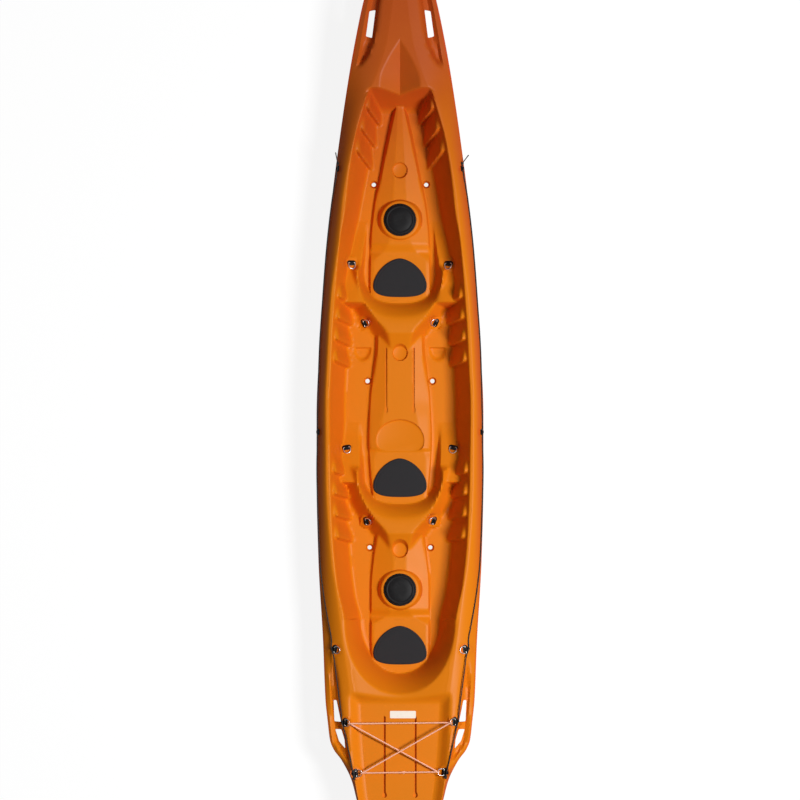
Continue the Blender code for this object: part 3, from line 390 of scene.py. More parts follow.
SIDE_BREADTH = [
    (-2.25, 0.0), (-2.235, 0.04), (-2.18, 0.085), (-2.05, 0.135), (-1.887, 0.178), (-1.70, 0.218),
    (-1.60, 0.235), (-1.50, 0.252), (-1.40, 0.285), (-1.32, 0.345), (-1.126, 0.362), (-0.742, 0.383),
    (-0.35, 0.393), (-0.05, 0.393), (0.216, 0.381), (0.599, 0.357), (0.982, 0.319), (1.269, 0.283),
    (1.45, 0.256), (1.557, 0.205), (1.66, 0.150), (1.80, 0.118), (1.94, 0.100), (2.10, 0.072),
    (2.20, 0.045), (2.24, 0.022), (2.25, 0.0)]
KEEL_HEIGHT = [
    (-2.25, 0.230), (-2.20, 0.150), (-2.08, 0.085), (-1.85, 0.042), (-1.4, 0.010), (-1.0, 0.0),
    (1.0, 0.0), (1.4, 0.012), (1.8, 0.050), (2.05, 0.105), (2.19, 0.185), (2.25, 0.290)]
BILGE_FULLNESS = [(-2.25, 2.0), (-1.5, 3.2), (-0.8, 5.0), (0.8, 5.0), (1.5, 2.8), (2.25, 2.0)]


# %% Cockpit lines
RIM_BREADTH = [
    (-2.25, 0.20), (-1.030, 0.267), (-0.848, 0.302), (-0.647, 0.322), (-0.350, 0.334), (0.0, 0.338),
    (0.172, 0.331), (0.398, 0.320), (0.503, 0.312), (0.637, 0.302), (0.790, 0.287), (0.934, 0.263),
    (1.078, 0.248), (1.284, 0.214), (1.413, 0.178), (1.52, 0.150), (2.25, 0.08)]
FLOOR_BREADTH = [
    (-2.25, 0.12), (-1.030, 0.190), (-0.920, 0.217), (-0.700, 0.243), (-0.350, 0.262), (0.0, 0.266),
    (0.172, 0.260), (0.503, 0.238), (0.790, 0.215), (0.982, 0.184), (1.145, 0.152), (1.284, 0.128),
    (1.413, 0.100), (2.25, 0.05)]
FLOOR = 0.100
# The foot braces: start, number of steps, pitch, slant and the breadth that the start is given at
FOOT_BRACES = (
    (1.520, 3, 0.132, 1.25, 0.148), (0.604, 4, 0.104, 0.45, 0.290), (-0.238, 4, 0.103, 0.30, 0.300))
BRACE_DEPTH = 0.022
FRONT_WALL = (1.413, 1.518)
AFT_BOWL_Y = -1.030
AFT_BOWL_BREADTH, AFT_BOWL_FLOOR_BREADTH = 0.267, 0.190
AFT_BOWL_REACH, AFT_BOWL_FLOOR_REACH = 0.382, 0.246

# Each of the two front seats: middle of its bowl, how its sides spread towards the bow and where
# its ledges end
SEAT_BOWLS = ((0.637, -0.06, -0.145), (-0.326, 0.09, -0.035))
LEDGE_START = 0.225
LEDGE_TOP = 0.200
BOWL_BREADTH, BOWL_WALL = 0.206, 0.034
BOWL_REACH, BOWL_FLOOR_REACH = 0.220, 0.135
TAIL_BREADTH = [(-0.370, 0.045), (-0.300, 0.058), (-0.215, 0.122), (-0.150, 0.160), (-0.10, 0.178),
                (-0.035, 0.200), (0.01, 0.204)]
TAIL_RAMP = (-0.290, -0.375)


# %% Middle console and seat pans
CONSOLE_BREADTH = [
    (-1.36, 0.12), (-1.24, 0.130), (-1.169, 0.137), (-0.886, 0.137), (-0.647, 0.115), (-0.50, 0.100),
    (-0.46, 0.122), (-0.359, 0.137), (-0.168, 0.148), (0.024, 0.140), (0.168, 0.124), (0.278, 0.112),
    (0.46, 0.110), (0.50, 0.126), (0.551, 0.142), (0.790, 0.137), (0.958, 0.120), (1.078, 0.096),
    (1.184, 0.075), (1.284, 0.055), (1.42, 0.026)]
CONSOLE_FLAT = [
    (-1.36, 0.12), (-1.24, 0.124), (-1.06, 0.128), (-1.0, 0.05), (-0.742, 0.032), (-0.58, 0.062),
    (-0.46, 0.122), (-0.27, 0.128), (-0.19, 0.105), (-0.06, 0.085), (0.03, 0.064), (0.28, 0.062),
    (0.40, 0.062), (0.48, 0.122), (0.68, 0.128), (0.76, 0.06), (0.89, 0.04), (1.2, 0.022), (1.42, 0.01)]
CONSOLE_TOP = [
    (-1.36, 0.125), (-1.022, 0.125), (-0.975, 0.148), (-0.60, 0.150), (-0.50, 0.125), (-0.228, 0.125),
    (-0.205, 0.139), (0.04, 0.143), (0.30, 0.146), (0.44, 0.125), (0.724, 0.125), (0.78, 0.148),
    (1.20, 0.148), (1.42, 0.142)]
CONSOLE_LEAN = math.tan(math.radians(17))
PAD_MIDDLES = (0.594, -0.366, -1.170)
PAD_HALF_WIDTH = 0.1285
PAD_FRONT_REACH, PAD_AFT_REACH, PAD_SHIFT = 0.129, 0.057, -0.019
# The recess that a pad lies in: its depth, and its size as a share of the pad's
PAD_RECESS, RECESS_SHARE = 0.0006, 1.02
# How full the rounded D of a seat is: 2 is an ellipse, and more is closer to a rectangle
PAD_FULLNESS, CHILD_SEAT_FULLNESS, AFT_FULLNESS = 1.70, 2.0, 2.8
PAN_HEIGHT = 0.125
CHILD_SEAT_Y, CHILD_SEAT_HALF_WIDTH = -0.170, 0.118
CHILD_SEAT_REACH = (0.100, 0.062)
CHILD_PAN = 0.129
DIMPLES = ((0.0, 1.126), (0.0, 0.249), (0.0, -0.695))
DIMPLE_RADIUS = 0.038
DIMPLE_FLOOR = 0.134


# %% Hatches and drain holes
HATCHES = {"front": 0.888, "rear": -0.886}
BOSS_HEIGHT, BOSS_RADIUS = 0.164, 0.090
BOSS_SKIRT, BOSS_FOOT = 0.034, 0.108
# How far the boss's rounded edge lies out of its radius and below its top, from the skirt up
BOSS_EDGE = ((0.0030, 0.0060), (0.0014, 0.0035), (-0.0010, 0.0015), (-0.0040, 0.0003), (-0.0070, 0.0))
HATCH_HOLE = 0.0655
FLANGE_RADIUS = 0.078
COLLAR_RADIUS, COLLAR_BORE = 0.0645, 0.0590
LID_RADIUS = 0.0700
PLUG_RADIUS = 0.0565

# Drain holes through the hull, on both sides: (breadth, y)
SCUPPERS = ((0.126, 1.059), (0.156, 0.115), (0.146, -0.685))
SCUPPER_RADIUS = 0.0105
# The dished edge of a drain hole: (radius, height above the floor)
SCUPPER_DISH = ((0.0122, -0.0150), (0.0172, -0.0030), (0.0188, 0.0002), (0.0190, 0.0300))
# Least thickness of the hull's wall
WALL = 0.006


# %% Tank well, trough, channels and side decks
TANK_FLOOR = 0.236
TANK_FRONT, TANK_AFT = -1.430, -2.000
TANK_BREADTH = [(-2.05, 0.120), (-1.85, 0.160), (-1.60, 0.182), (-1.43, 0.190)]
# Grooves in the console and the tank well: (breadth, aft end, forward end, floor, half width, pocket)
GROOVES = ((0.066, -0.036, 0.276, 0.1360, 0.0045, 0.0085), (0.074, -1.88, -1.49, 0.2295, 0.0055, 0.0110))

# Where a groove's pocket has narrowed to the groove, from its aft end, and over what length it does
POCKET_END, POCKET_TAPER = 0.030, 0.016

# The V-shaped trough in the bow deck
TROUGH = (1.3, 1.748)
TROUGH_BREADTH = [(1.40, 0.105), (1.566, 0.094), (1.653, 0.058), (1.748, 0.0)]
TROUGH_DEPTH = [(1.40, 0.085), (1.518, 0.062), (1.653, 0.030), (1.748, 0.0)]

# Channels beside the grab slots: inner and outer line, depth, softness, and for each end its place
# and the length that it runs out over
CHANNELS = (
    ([(1.605, 0.198), (1.677, 0.156), (1.763, 0.125), (1.844, 0.113), (1.94, 0.100), (2.06, 0.060)],
     [(1.605, 0.202), (1.677, 0.190), (1.763, 0.172), (1.844, 0.157), (1.94, 0.140), (2.06, 0.066)],
     0.030, 0.022, (1.60, 0.06), (2.06, 0.06)),
    ([(-1.72, 0.240), (-1.62, 0.256), (-1.50, 0.284), (-1.33, 0.300), (-1.15, 0.325)],
     [(-1.72, 0.244), (-1.66, 0.280), (-1.60, 0.314), (-1.50, 0.324), (-1.33, 0.330), (-1.15, 0.330)],
     0.026, 0.020, (-1.73, 0.06), (-1.15, 0.20)))

# Side decks beside the last seat, and the heel dimples beside the console
SIDE_DECK = (-1.50, -0.98)
SIDE_DECK_LINE = [(-1.50, 0.200), (-1.42, 0.212), (-1.025, 0.258), (-0.95, 0.262)]
HEEL_PLACE, HEEL_REACH, HEEL_FRONT = (0.180, 0.272), (0.045, 0.066), 0.278

# Slots to hold on to: (breadth, y) corners of each, on both sides
GRAB_SLOTS = {
    "bow": ((0.117, 1.890), (0.146, 1.884), (0.163, 1.763), (0.134, 1.755)),
    "stern_front": ((0.304, -1.413), (0.318, -1.413), (0.314, -1.515), (0.282, -1.518)),
    "stern_aft": ((0.281, -1.552), (0.310, -1.552), (0.292, -1.610), (0.262, -1.646), (0.266, -1.600))}


# %% Deck fittings
# Eyes: (x, y, direction the ring lies, in degrees from +X)
EYES = {
    "seat1_port": (-0.233, 0.682, -90), "seat1_starboard": (0.233, 0.679, -90),
    "tail1_port": (-0.172, 0.392, 25), "tail1_starboard": (0.172, 0.394, 155),
    "seat2_port": (-0.256, -0.204, -80), "seat2_starboard": (0.256, -0.204, -100),
    "tail2_port": (-0.163, -0.558, 10), "tail2_starboard": (0.163, -0.556, 160),
    "seat3_port": (-0.312, -1.169, -12), "seat3_starboard": (0.312, -1.169, 190),
    "tank_front_port": (-0.262, -1.518, -5), "tank_front_starboard": (0.262, -1.514, 185),
    "tank_aft_port": (-0.212, -1.762, 5), "tank_aft_starboard": (0.212, -1.757, 175)}
GUIDES = {
    "guide_bow_port": (-0.297, 1.132), "guide_bow_starboard": (0.297, 1.132),
    "guide_middle_port": (-0.391, -0.129), "guide_middle_starboard": (0.391, -0.129)}
# Each fitting's flat seat: its radius, its depth and its steepest slope
SEAT_OF_EYE, SEAT_OF_GUIDE = 0.0265, 0.018
SEAT_DEPTH = 0.0008
STEEPEST_EYE, STEEPEST_GUIDE = 0.45, 1.2
# The direction of the deck line through each guide, in degrees from +X
GUIDE_ANGLES = {
    "guide_bow_port": -98, "guide_bow_starboard": -82,
    "guide_middle_port": -90, "guide_middle_starboard": -90}


# %% Pad eyes and their rings, the deck line and the elastic cord
EYE_LENGTH, EYE_WIDTH, EYE_THICKNESS = 0.044, 0.024, 0.0030
SADDLE_LENGTH = 0.018
WIRE_RADIUS, BAR_HEIGHT = 0.0020, 0.0057
RING_HALF_WIDTH, RING_REACH = 0.0165, 0.0290
LINE_RADIUS, LINE_HEIGHT, LINE_OFFSET = 0.0028, 0.0066, 0.0146
LINE_LIFT, LINE_STEP = 0.0052, 0.045
KNOT_START, KNOT_MIDDLE = 0.0040, 0.0145
LINE_KNOT, CORD_KNOT, KNOT_STRAND = 0.0019, 0.0017, 0.0026
# The direction of the deck line through each eye that has an arch for it, in degrees from +X
LINE_ANGLES = {
    "seat3_port": -79, "seat3_starboard": -101, "tank_front_port": -79, "tank_front_starboard": -101,
    "tank_aft_port": -78, "tank_aft_starboard": -102}
# How far each ring stands up from its lowest place, in degrees
RAISED = {
    "tail1_port": 4, "tail1_starboard": 4, "tail2_port": 7, "tail2_starboard": 7,
    "tank_front_port": 14, "tank_front_starboard": 14, "tank_aft_port": 30, "tank_aft_starboard": 30}
CORD_RADIUS = 0.0036

# The deck line's free way along the edge, forward and aft of the middle guides: (breadth, y)
LINE_FORE = ((0.303, 1.085), (0.318, 1.000), (0.347, 0.750), (0.366, 0.500), (0.382, 0.250), (0.391, -0.080))
LINE_AFT = (
    (0.391, -0.170), (0.3935, -0.300), (0.388, -0.550), (0.379, -0.757), (0.363, -0.900), (0.325, -1.120))
LINE_SLOTS = ((0.317, -1.205), (0.282, -1.470))
LINE_TANK = ((0.266, -1.560), (0.233, -1.715))

# The drain hole in the stern deck
DRAIN_Y = -2.060
DRAIN_HOLE = 0.0135


# %% How finely the moulding is made
HULL_STEP, DECK_COLUMNS = 0.0066, 132
# Where the bottom's points lie, as shares of its half breadth, outside and inside
BOTTOM_SHARES = (0.0, 0.08, 0.16, 0.225, 0.29, 0.355, 0.42, 0.53, 0.66, 0.78, 0.87, 0.93, 0.97, 0.99, 1.0)
HOLLOW_SHARES = (0.0, 0.30, 0.60, 0.80, 0.92, 0.98, 1.0)
HOLLOW_STEP, HOLLOW_REACH, HOLLOW_COLUMNS = 0.040, 2.12, 22


# %% [markdown]
# Reading a line and joining two surfaces
#
# A smooth line is read through its points without swinging past them. Two surfaces are joined by
# taking the higher or the lower one, with a fillet where they meet: that is how a moulding gets its
# soft edges.

# %% Line and fillet helpers


def through(points, at):
    """Read a smooth line through the given points, which never swings past them."""
    ys, values = np.array(points).T
    gaps = np.diff(ys)
    slopes = np.diff(values) / gaps
    product = slopes[:-1] * slopes[1:]
    total = slopes[:-1] + slopes[1:]
    tangents = np.concatenate(([slopes[0]], np.where(product > 0, 2 * product / np.where(
        total == 0, 1, total), 0), [slopes[-1]]))
    at = np.clip(at, ys[0], ys[-1])
    i = np.clip(np.searchsorted(ys, at) - 1, 0, len(ys) - 2)
    t = (at - ys[i]) / gaps[i]
    return (values[i] * (1 + 2 * t) * (1 - t) ** 2 + values[i + 1] * t * t * (3 - 2 * t)
            + gaps[i] * t * (1 - t) * (tangents[i] * (1 - t) - tangents[i + 1] * t))


def upper(a, b, fillet):
    """The higher of two surfaces, with a fillet where they meet."""
    h = np.clip(0.5 + 0.5 * (a - b) / fillet, 0, 1)
    return b + (a - b) * h + fillet * h * (1 - h)


def lower(a, b, fillet):
    """The lower of two surfaces, with a rounded edge where they meet."""
    return -upper(-a, -b, fillet)


def ease(t):
    t = np.clip(t, 0, 1)
    return t * t * (3 - 2 * t)


def window(value, low, high, soft):
    """1 between low and high, easing to 0 over soft on either side."""
    return ease((value - low) / soft + 0.5) * ease((high - value) / soft + 0.5)


def outward(inner, outer):
    """How far a point lies out of a bowl's floor, 0, towards its rim, 1, and beyond either."""
    inside_rim = np.minimum(outer, 1)
    share = (inner - 1) / np.maximum((inner - 1) + (1 - inside_rim), 1e-6)
    return np.where(inner < 1, inner - 1, np.where(outer > 1, outer, share))


# %% [markdown]
# The deck as one height
#
# Seen from above, each point of the deck has one height. It starts as the closed deck between the
# rails, and then the trough, the channels beside the grab slots, the cockpit, the seat blocks, the
# console and the tank well are sunk into it or raised on it, one after another.

# %% Closed deck and foot braces
# The share of a brace's pitch over which its step rises, and over which it falls
BRACE_RISE, BRACE_FALL = 0.80, 0.20


def within(y, ends):
    return (y > ends[0]) & (y < ends[1])


def closed_deck(a, y):
    """The deck before anything is sunk into it: rails, and shoulders that fall to the edge."""
    edge, crest = through(EDGE_BREADTH, y), through(CREST_BREADTH, y)
    top, low = through(CREST_HEIGHT, y), through(EDGE_HEIGHT, y)
    t = np.clip((a - crest) / np.maximum(edge - crest, 0.004), 0, 1)
    return top - (top - low) * (0.45 * t + 0.55 * t * t)


def foot_braces(a, y):
    """How far the steps of the foot braces stand in from the footwell's wall."""
    steps = np.zeros_like(y)
    for start, count, pitch, slant, at in FOOT_BRACES:
        part = (start - y + slant * (a - at)) / pitch
        inside = (part > 0) & (part < count)
        rise = part % 1.0
        tooth = ease(rise / BRACE_RISE) * ease((1.0 - rise) / BRACE_FALL)
        steps = np.where(inside, BRACE_DEPTH * tooth, steps)
    return steps


# %% Cockpit, console, seats and tank well
# Fillets along the footwell's floor and front wall, and at the bowls', console's and other edges
FLOOR_FILLET, FRONT_FILLET = 0.022, 0.045
BOWL_FILLET, SEAT_FILLET, EDGE_FILLET, CONSOLE_FILLET, GROOVE_FILLET = 0.014, 0.012, 0.010, 0.006, 0.004
# The ledge: how far aft its ramp starts and how steep its forward end is
LEDGE_AFT, LEDGE_END_SLOPE = 0.140, 3.5
# The tail aft of a seat: its low end, its slopes beside and forward, and where it starts
TAIL_LOW, TAIL_SIDE_SLOPE, TAIL_FRONT_SLOPE, TAIL_START = 0.142, 1.35, 1.5, 0.06
BOWL_POWER, BOWL_SPREAD = 2.5, 0.3
# How far the console's wall stands in the floor and out of its line, and its slope
CONSOLE_SUNK, CONSOLE_OUT, CONSOLE_WALL = 0.004, 0.008, 3.0
TANK_SIDE_SLOPE, TANK_END_SLOPE, TANK_FILLET = 0.85, 0.9, 0.02


def cockpit(a, y):
    """The long footwell with its walls, from the front wall to the last seat's back."""
    top = through(CREST_HEIGHT, y)
    rim, floor = through(RIM_BREADTH, y), through(FLOOR_BREADTH, y)
    t = (a - floor) / (rim - floor)
    t = t + foot_braces(a, y) * ease((0.95 - t) / 0.40) / (rim - floor)
    back = AFT_BOWL_Y - y
    behind = np.maximum(back, 0)
    outer = np.hypot(a / AFT_BOWL_BREADTH, behind / AFT_BOWL_REACH)
    inner = np.hypot(a / AFT_BOWL_FLOOR_BREADTH, behind / AFT_BOWL_FLOOR_REACH)
    around = outward(inner, outer)
    t = np.where(back > 0, around, t)
    wall = FLOOR + (top - FLOOR) * t
    t_front = (y - FRONT_WALL[0]) / (FRONT_WALL[1] - FRONT_WALL[0])
    front = FLOOR + (top - FLOOR) * t_front
    return upper(upper(FLOOR + 0 * y, wall, FLOOR_FILLET), front, FRONT_FILLET)


def console(a, y):
    """The low console down the middle, which widens into each seat pan."""
    top, flat = through(CONSOLE_TOP, y), through(CONSOLE_FLAT, y)
    side = through(CONSOLE_BREADTH, y)
    lean = top - np.maximum(a - flat, 0) * CONSOLE_LEAN
    wall = FLOOR - CONSOLE_SUNK + (side + CONSOLE_OUT - a) * CONSOLE_WALL
    return lower(lean, wall, CONSOLE_FILLET)


def seat_block(a, y, middle, flare, ledge_end):
    """A raised block across the footwell that a seat's bowl is sunk into, and its tail aft."""
    start, end = middle + LEDGE_START, middle + ledge_end
    slope = (LEDGE_TOP - FLOOR) / (LEDGE_START + LEDGE_AFT)
    ledge = FLOOR + (start - y) * slope
    ledge = lower(ledge, LEDGE_TOP + (y - end) * LEDGE_END_SLOPE, 0.008)
    half = through([(middle + at, breadth) for at, breadth in TAIL_BREADTH], y)
    ramp = (LEDGE_TOP - TAIL_LOW) / (TAIL_RAMP[0] - TAIL_RAMP[1])
    tail = LEDGE_TOP - np.maximum(middle + TAIL_RAMP[0] - y, 0) * ramp
    tail = lower(tail, tail - (a - half) * TAIL_SIDE_SLOPE, EDGE_FILLET)
    tail = lower(tail, LEDGE_TOP + (middle - y) * TAIL_FRONT_SLOPE, EDGE_FILLET)
    tail = np.where(y > middle + TAIL_START, FLOOR - 0.1, tail)
    block = upper(ledge, tail, SEAT_FILLET)
    back = np.maximum(middle - y, 0)
    spread = BOWL_BREADTH + flare * np.clip(y - middle, 0, BOWL_SPREAD)
    outer, inner = [(np.abs(a / half) ** BOWL_POWER + (back / reach) ** BOWL_POWER) ** (1 / BOWL_POWER)
                    for half, reach in ((spread, BOWL_REACH), (spread - BOWL_WALL, BOWL_FLOOR_REACH))]
    bowl = FLOOR - 0.002 + (LEDGE_TOP - FLOOR) * outward(inner, outer)
    return lower(block, bowl, BOWL_FILLET)


def tank_well(a, y):
    floor = through(TANK_BREADTH, y)
    side = TANK_FLOOR + np.maximum(a - floor, 0) * TANK_SIDE_SLOPE
    front = TANK_FLOOR + np.maximum(y - TANK_FRONT, 0) * TANK_END_SLOPE
    aft = TANK_FLOOR + np.maximum(TANK_AFT - y, 0) * TANK_END_SLOPE
    return upper(upper(side, front, TANK_FILLET), aft, TANK_FILLET)


# %% The whole deck
# Where along the hull the console and the tank well are, and a seat block round its own middle
CONSOLE_SPAN, TANK_SPAN, SEAT_SPAN = (-1.36, 1.44), (-2.10, -1.36), (-0.39, 0.24)
SIDE_DECK_LEAN, SIDE_DECK_ROUND, SIDE_DECK_GROOVE = 0.16, 0.07, 0.002
HEEL_DEPTH = 0.014
# Radius of the flat round the drain, out to its foot, and the width over which it rises
DRAIN_FOOT, DRAIN_REACH, DRAIN_SLOPE = 0.045, 0.042, 0.015


def deck_shape(x, y):
    """Height of the deck, fittings' seats aside."""
    a = np.abs(x)
    deck = closed_deck(a, y)

    breadth, depth = through(TROUGH_BREADTH, y), through(TROUGH_DEPTH, y)
    trough = closed_deck(breadth, y) - depth * (1 - a / np.maximum(breadth, 0.002))
    deck = np.where(within(y, TROUGH), lower(deck, trough, GROOVE_FILLET), deck)

    for inner, outer, depth, soft, (start, start_run), (end, end_run) in CHANNELS:
        sunk = depth * window(a, through(inner, y), through(outer, y), soft)
        deck = deck - sunk * ease((y - start) / start_run) * ease((end - y) / end_run)

    deck = lower(deck, cockpit(a, y), EDGE_FILLET)
    for middle, flare, ledge_end in SEAT_BOWLS:
        block = seat_block(a, y, middle, flare, ledge_end)
        near = (y < middle + SEAT_SPAN[1]) & (y > middle + SEAT_SPAN[0])
        deck = np.where(near, upper(deck, block, SEAT_FILLET), deck)
    deck = np.where(within(y, CONSOLE_SPAN), upper(deck, console(a, y), CONSOLE_FILLET), deck)

    # Side decks beside the last seat lean inwards from a narrow groove
    line = through(SIDE_DECK_LINE, y)
    lean = closed_deck(line, y) - (line - np.hypot(a, SIDE_DECK_ROUND)) * SIDE_DECK_LEAN - SIDE_DECK_GROOVE
    deck = np.where(within(y, SIDE_DECK) & (a < line), lower(deck, lean, GROOVE_FILLET), deck)
    deck = np.where(within(y, TANK_SPAN), lower(deck, tank_well(a, y), EDGE_FILLET), deck)

    heel = np.hypot((a - HEEL_PLACE[0]) / HEEL_REACH[0], (y - HEEL_PLACE[1]) / HEEL_REACH[1])
    deck = deck - HEEL_DEPTH * ease((1 - heel) / 0.35) * ease((HEEL_FRONT - y) / 0.008)

    r = np.hypot(x, y - DRAIN_Y)
    flat = deck + (DRAIN_HEIGHT - deck) * ease((DRAIN_REACH - r) / DRAIN_SLOPE)
    return np.where(r < DRAIN_FOOT, flat, deck)


def tangent_plane(x, y, steepest):
    """Height and slopes of a flat seat at a fitting, close to the deck's own slopes."""
    step = 0.016
    grid = np.array([(x + i * step, y + j * step) for i in (-1, 0, 1) for j in (-1, 0, 1)])
    heights = deck_shape(grid[:, 0], grid[:, 1])
    fit = np.column_stack((np.ones(9), grid[:, 0] - x, grid[:, 1] - y))
    height, *slopes = np.linalg.lstsq(fit, heights, rcond=None)[0]
    return (height, *np.clip(slopes, -steepest, steepest))


DRAIN_HEIGHT = float(through(CREST_HEIGHT, DRAIN_Y)) + 0.002
SEATS = {name: (x, y, SEAT_OF_EYE, tangent_plane(x, y, STEEPEST_EYE)) for name, (x, y, _) in EYES.items()}
SEATS.update({name: (x, y, SEAT_OF_GUIDE, tangent_plane(x, y, STEEPEST_GUIDE))
              for name, (x, y) in GUIDES.items()})
# Past a seat's radius: where the plane ends and the width over which it meets the deck
SEAT_MARGIN, SEAT_BLEND = 0.010, 0.008
RIM_WIDTH = 0.004


def deck_height(x, y):
    """Height of the finished deck, flat where each fitting sits."""
    deck = deck_shape(x, y)
    for at_x, at_y, radius, (height, slope_x, slope_y) in SEATS.values():
        dx, dy = x - at_x, y - at_y
        r = np.sqrt(dx ** 2 * (1 + slope_x ** 2) + dy ** 2)
        plane = height + slope_x * dx + slope_y * dy
        deck = deck + (plane - deck) * ease((radius + SEAT_MARGIN - r) / SEAT_BLEND)
    edge = through(EDGE_BREADTH, y)
    rim = np.clip((np.abs(x) - edge + RIM_WIDTH) / RIM_WIDTH, 0, 1)
    return deck + (through(EDGE_HEIGHT, y) - deck) * rim


middle_line = deck_height(np.zeros(400), np.linspace(-2.2, 2.2, 400))
print("lowest point on the deck's middle line", round(float(middle_line.min()), 4))


# %% [markdown]
# Sections and skins
#
# The outer skin is a loft through 687 cross-sections, 6.6 mm apart. The space inside is a second,
# plainer loft that keeps clear of the deck by the wall's thickness.

# %% Bottom's half section
# The side wall's top lies this far below the edge, and further at the two ends
SIDE_GAP, SIDE_DROP = 0.005, 0.042
# The two tunnels beside the keel: breadth of their middle, width, depth and where they end
TUNNEL_MIDDLE, TUNNEL_WIDTH, TUNNEL_DEPTH, TUNNEL_ENDS = 0.115, 0.034, 0.016, (-1.5, 1.35)


def bottom_point(share, y):
    """Points of the bottom's half section, by their share of its breadth: the keel is 0, the side is 1."""
    share = np.array(share)
    side, keel = through(SIDE_BREADTH, y), through(KEEL_HEIGHT, y)
    high = through(EDGE_HEIGHT, y) - SIDE_GAP - SIDE_DROP * ease((np.abs(y + 0.03) - 1.20) / 0.16)
    high = np.maximum(high, keel + 0.002)
    power = through(BILGE_FULLNESS, y)
    bilge = 1 - (1 - share ** power) ** (1 / power)
    x = side * share
    tunnel = np.exp(-((x - TUNNEL_MIDDLE) / TUNNEL_WIDTH) ** 2) * window(y, *TUNNEL_ENDS, 0.5)
    beside_keel = ease((share - 0.08) / 0.08)
    return x, keel + beside_keel * ((high - keel) * bilge + TUNNEL_DEPTH * tunnel)


# %% Rings of points and skins


def skin_of_rings(rings):
    """A closed mesh over rings of points, the same on both sides of the middle."""
    bm = bmesh.new()
    rows = [[bm.verts.new(p) for p in ring] for ring in rings]
    count = len(rows[0])
    for first, second in zip(rows, rows[1:]):
        for i in range(count):
            j = (i + 1) % count
            if abs(first[i].co.x) > abs(first[j].co.x):
                bm.faces.new((first[i], second[i], second[j]))
                bm.faces.new((first[i], second[j], first[j]))
            else:
                bm.faces.new((first[i], second[i], first[j]))
                bm.faces.new((second[i], second[j], first[j]))
    bm.faces.new(rows[0])
    bm.faces.new(rows[-1][::-1])
    return bm


def across(y, half, columns):
    """Places across a section, whose columns run along the moulding's long lines."""
    lines = [0.0] + [float(through(line, y)) for line in (
        CONSOLE_BREADTH, FLOOR_BREADTH, RIM_BREADTH, CREST_BREADTH)] + [half]
    shares = (0.0, 0.26, 0.50, 0.74, 0.84, 1.0)
    for i in range(4, 0, -1):
        lines[i] = min(lines[i], lines[i + 1] - half * 0.5 * (shares[i + 1] - shares[i]))
    for i in range(1, 5):
        lines[i] = max(lines[i], lines[i - 1] + half * 0.4 * (shares[i] - shares[i - 1]))
    parts = np.linspace(1, -1, columns + 1)
    return np.sign(parts) * np.interp(np.abs(parts), shares, lines)


def section_ring(y):
    """A whole outer cross-section: deck from starboard to port, then the bottom back again."""
    xs = across(y, float(through(EDGE_BREADTH, y)), DECK_COLUMNS)
    zs = deck_height(xs, np.full_like(xs, y))
    bx, bz = bottom_point(BOTTOM_SHARES, y)
    ring = [(x, y, z) for x, z in zip(xs, zs)]
    ring += [(-x, y, z) for x, z in zip(bx[::-1], bz[::-1])]
    return ring + [(x, y, z) for x, z in zip(bx[1:], bz[1:])]


# %% Cross-sections of the space inside
SIDE_ROOM = 0.020
# The roof is the lowest deck found at these distances all round a point
PROBES = (0.009, 0.018, 0.026)
DIMPLE_ROOM, SCUPPER_ROOM, SCUPPER_SINK = 0.045, 0.065, 0.016
CHILD_SEAT_ROOM, GROOVE_ROOM = (0.15, 0.11, 0.15), (0.04, 0.05)
ROOF_ROOM, FLOOR_ROOM = 0.0025, 0.002


def hollow_ring(y):
    """A cross-section of the space inside, well clear of the deck and the bottom."""
    bx, bz = bottom_point(HOLLOW_SHARES, y)
    side = bx[-1]
    bx = bx * (side - SIDE_ROOM) / side
    xs = across(y, bx[-1], HOLLOW_COLUMNS)
    roof = deck_height(xs, np.full_like(xs, y))
    for reach in PROBES:
        for turn in range(12):
            dx = reach * math.cos(turn * math.pi / 6)
            dy = reach * math.sin(turn * math.pi / 6)
            roof = np.minimum(roof, deck_height(xs + dx, np.full_like(xs, y + dy)))
    for x, at in DIMPLES:
        near = np.hypot(xs - x, y - at) < DIMPLE_RADIUS + DIMPLE_ROOM
        roof = np.where(near, np.minimum(roof, DIMPLE_FLOOR), roof)
    for x, at in SCUPPERS:
        near = np.hypot(np.abs(xs) - x, y - at) < SCUPPER_ROOM
        roof = np.where(near, np.minimum(roof, FLOOR - SCUPPER_SINK), roof)
    half, behind, ahead = CHILD_SEAT_ROOM
    sunk = [(half, CHILD_SEAT_Y - behind, CHILD_SEAT_Y + ahead, CHILD_PAN)]
    beside, beyond = GROOVE_ROOM
    sunk += [(x + beside, aft - beyond, front + beyond, low) for x, aft, front, low, _, _ in GROOVES]
    for half, aft, front, low in sunk:
        if aft < y < front:
            roof = np.where(np.abs(xs) < half, np.minimum(roof, low), roof)
    roof = roof - WALL - ROOF_ROOM
    floor = np.interp(np.abs(xs), bx, bz + WALL + FLOOR_ROOM)
    roof = np.maximum(roof, floor + 0.003)
    ring = [(x, y, z) for x, z in zip(xs, roof)]
    lift = np.minimum(bz + WALL + FLOOR_ROOM, np.interp(bx, xs[::-1], roof[::-1]) - 0.0015)
    ring += [(-x, y, z) for x, z in zip(bx[::-1], lift[::-1])]
    return ring + [(x, y, z) for x, z in zip(bx[1:], lift[1:])]


def stations(step, reach):
    """Distances along the hull, with a few more close to the ends."""
    count = int(2 * reach / step)
    middle = [-reach + 2 * reach * (i + 0.5) / count for i in range(count)]
    ends = [reach - step * part for part in (0.02, 0.12, 0.3)]
    return sorted(middle + ends + [-end for end in ends])


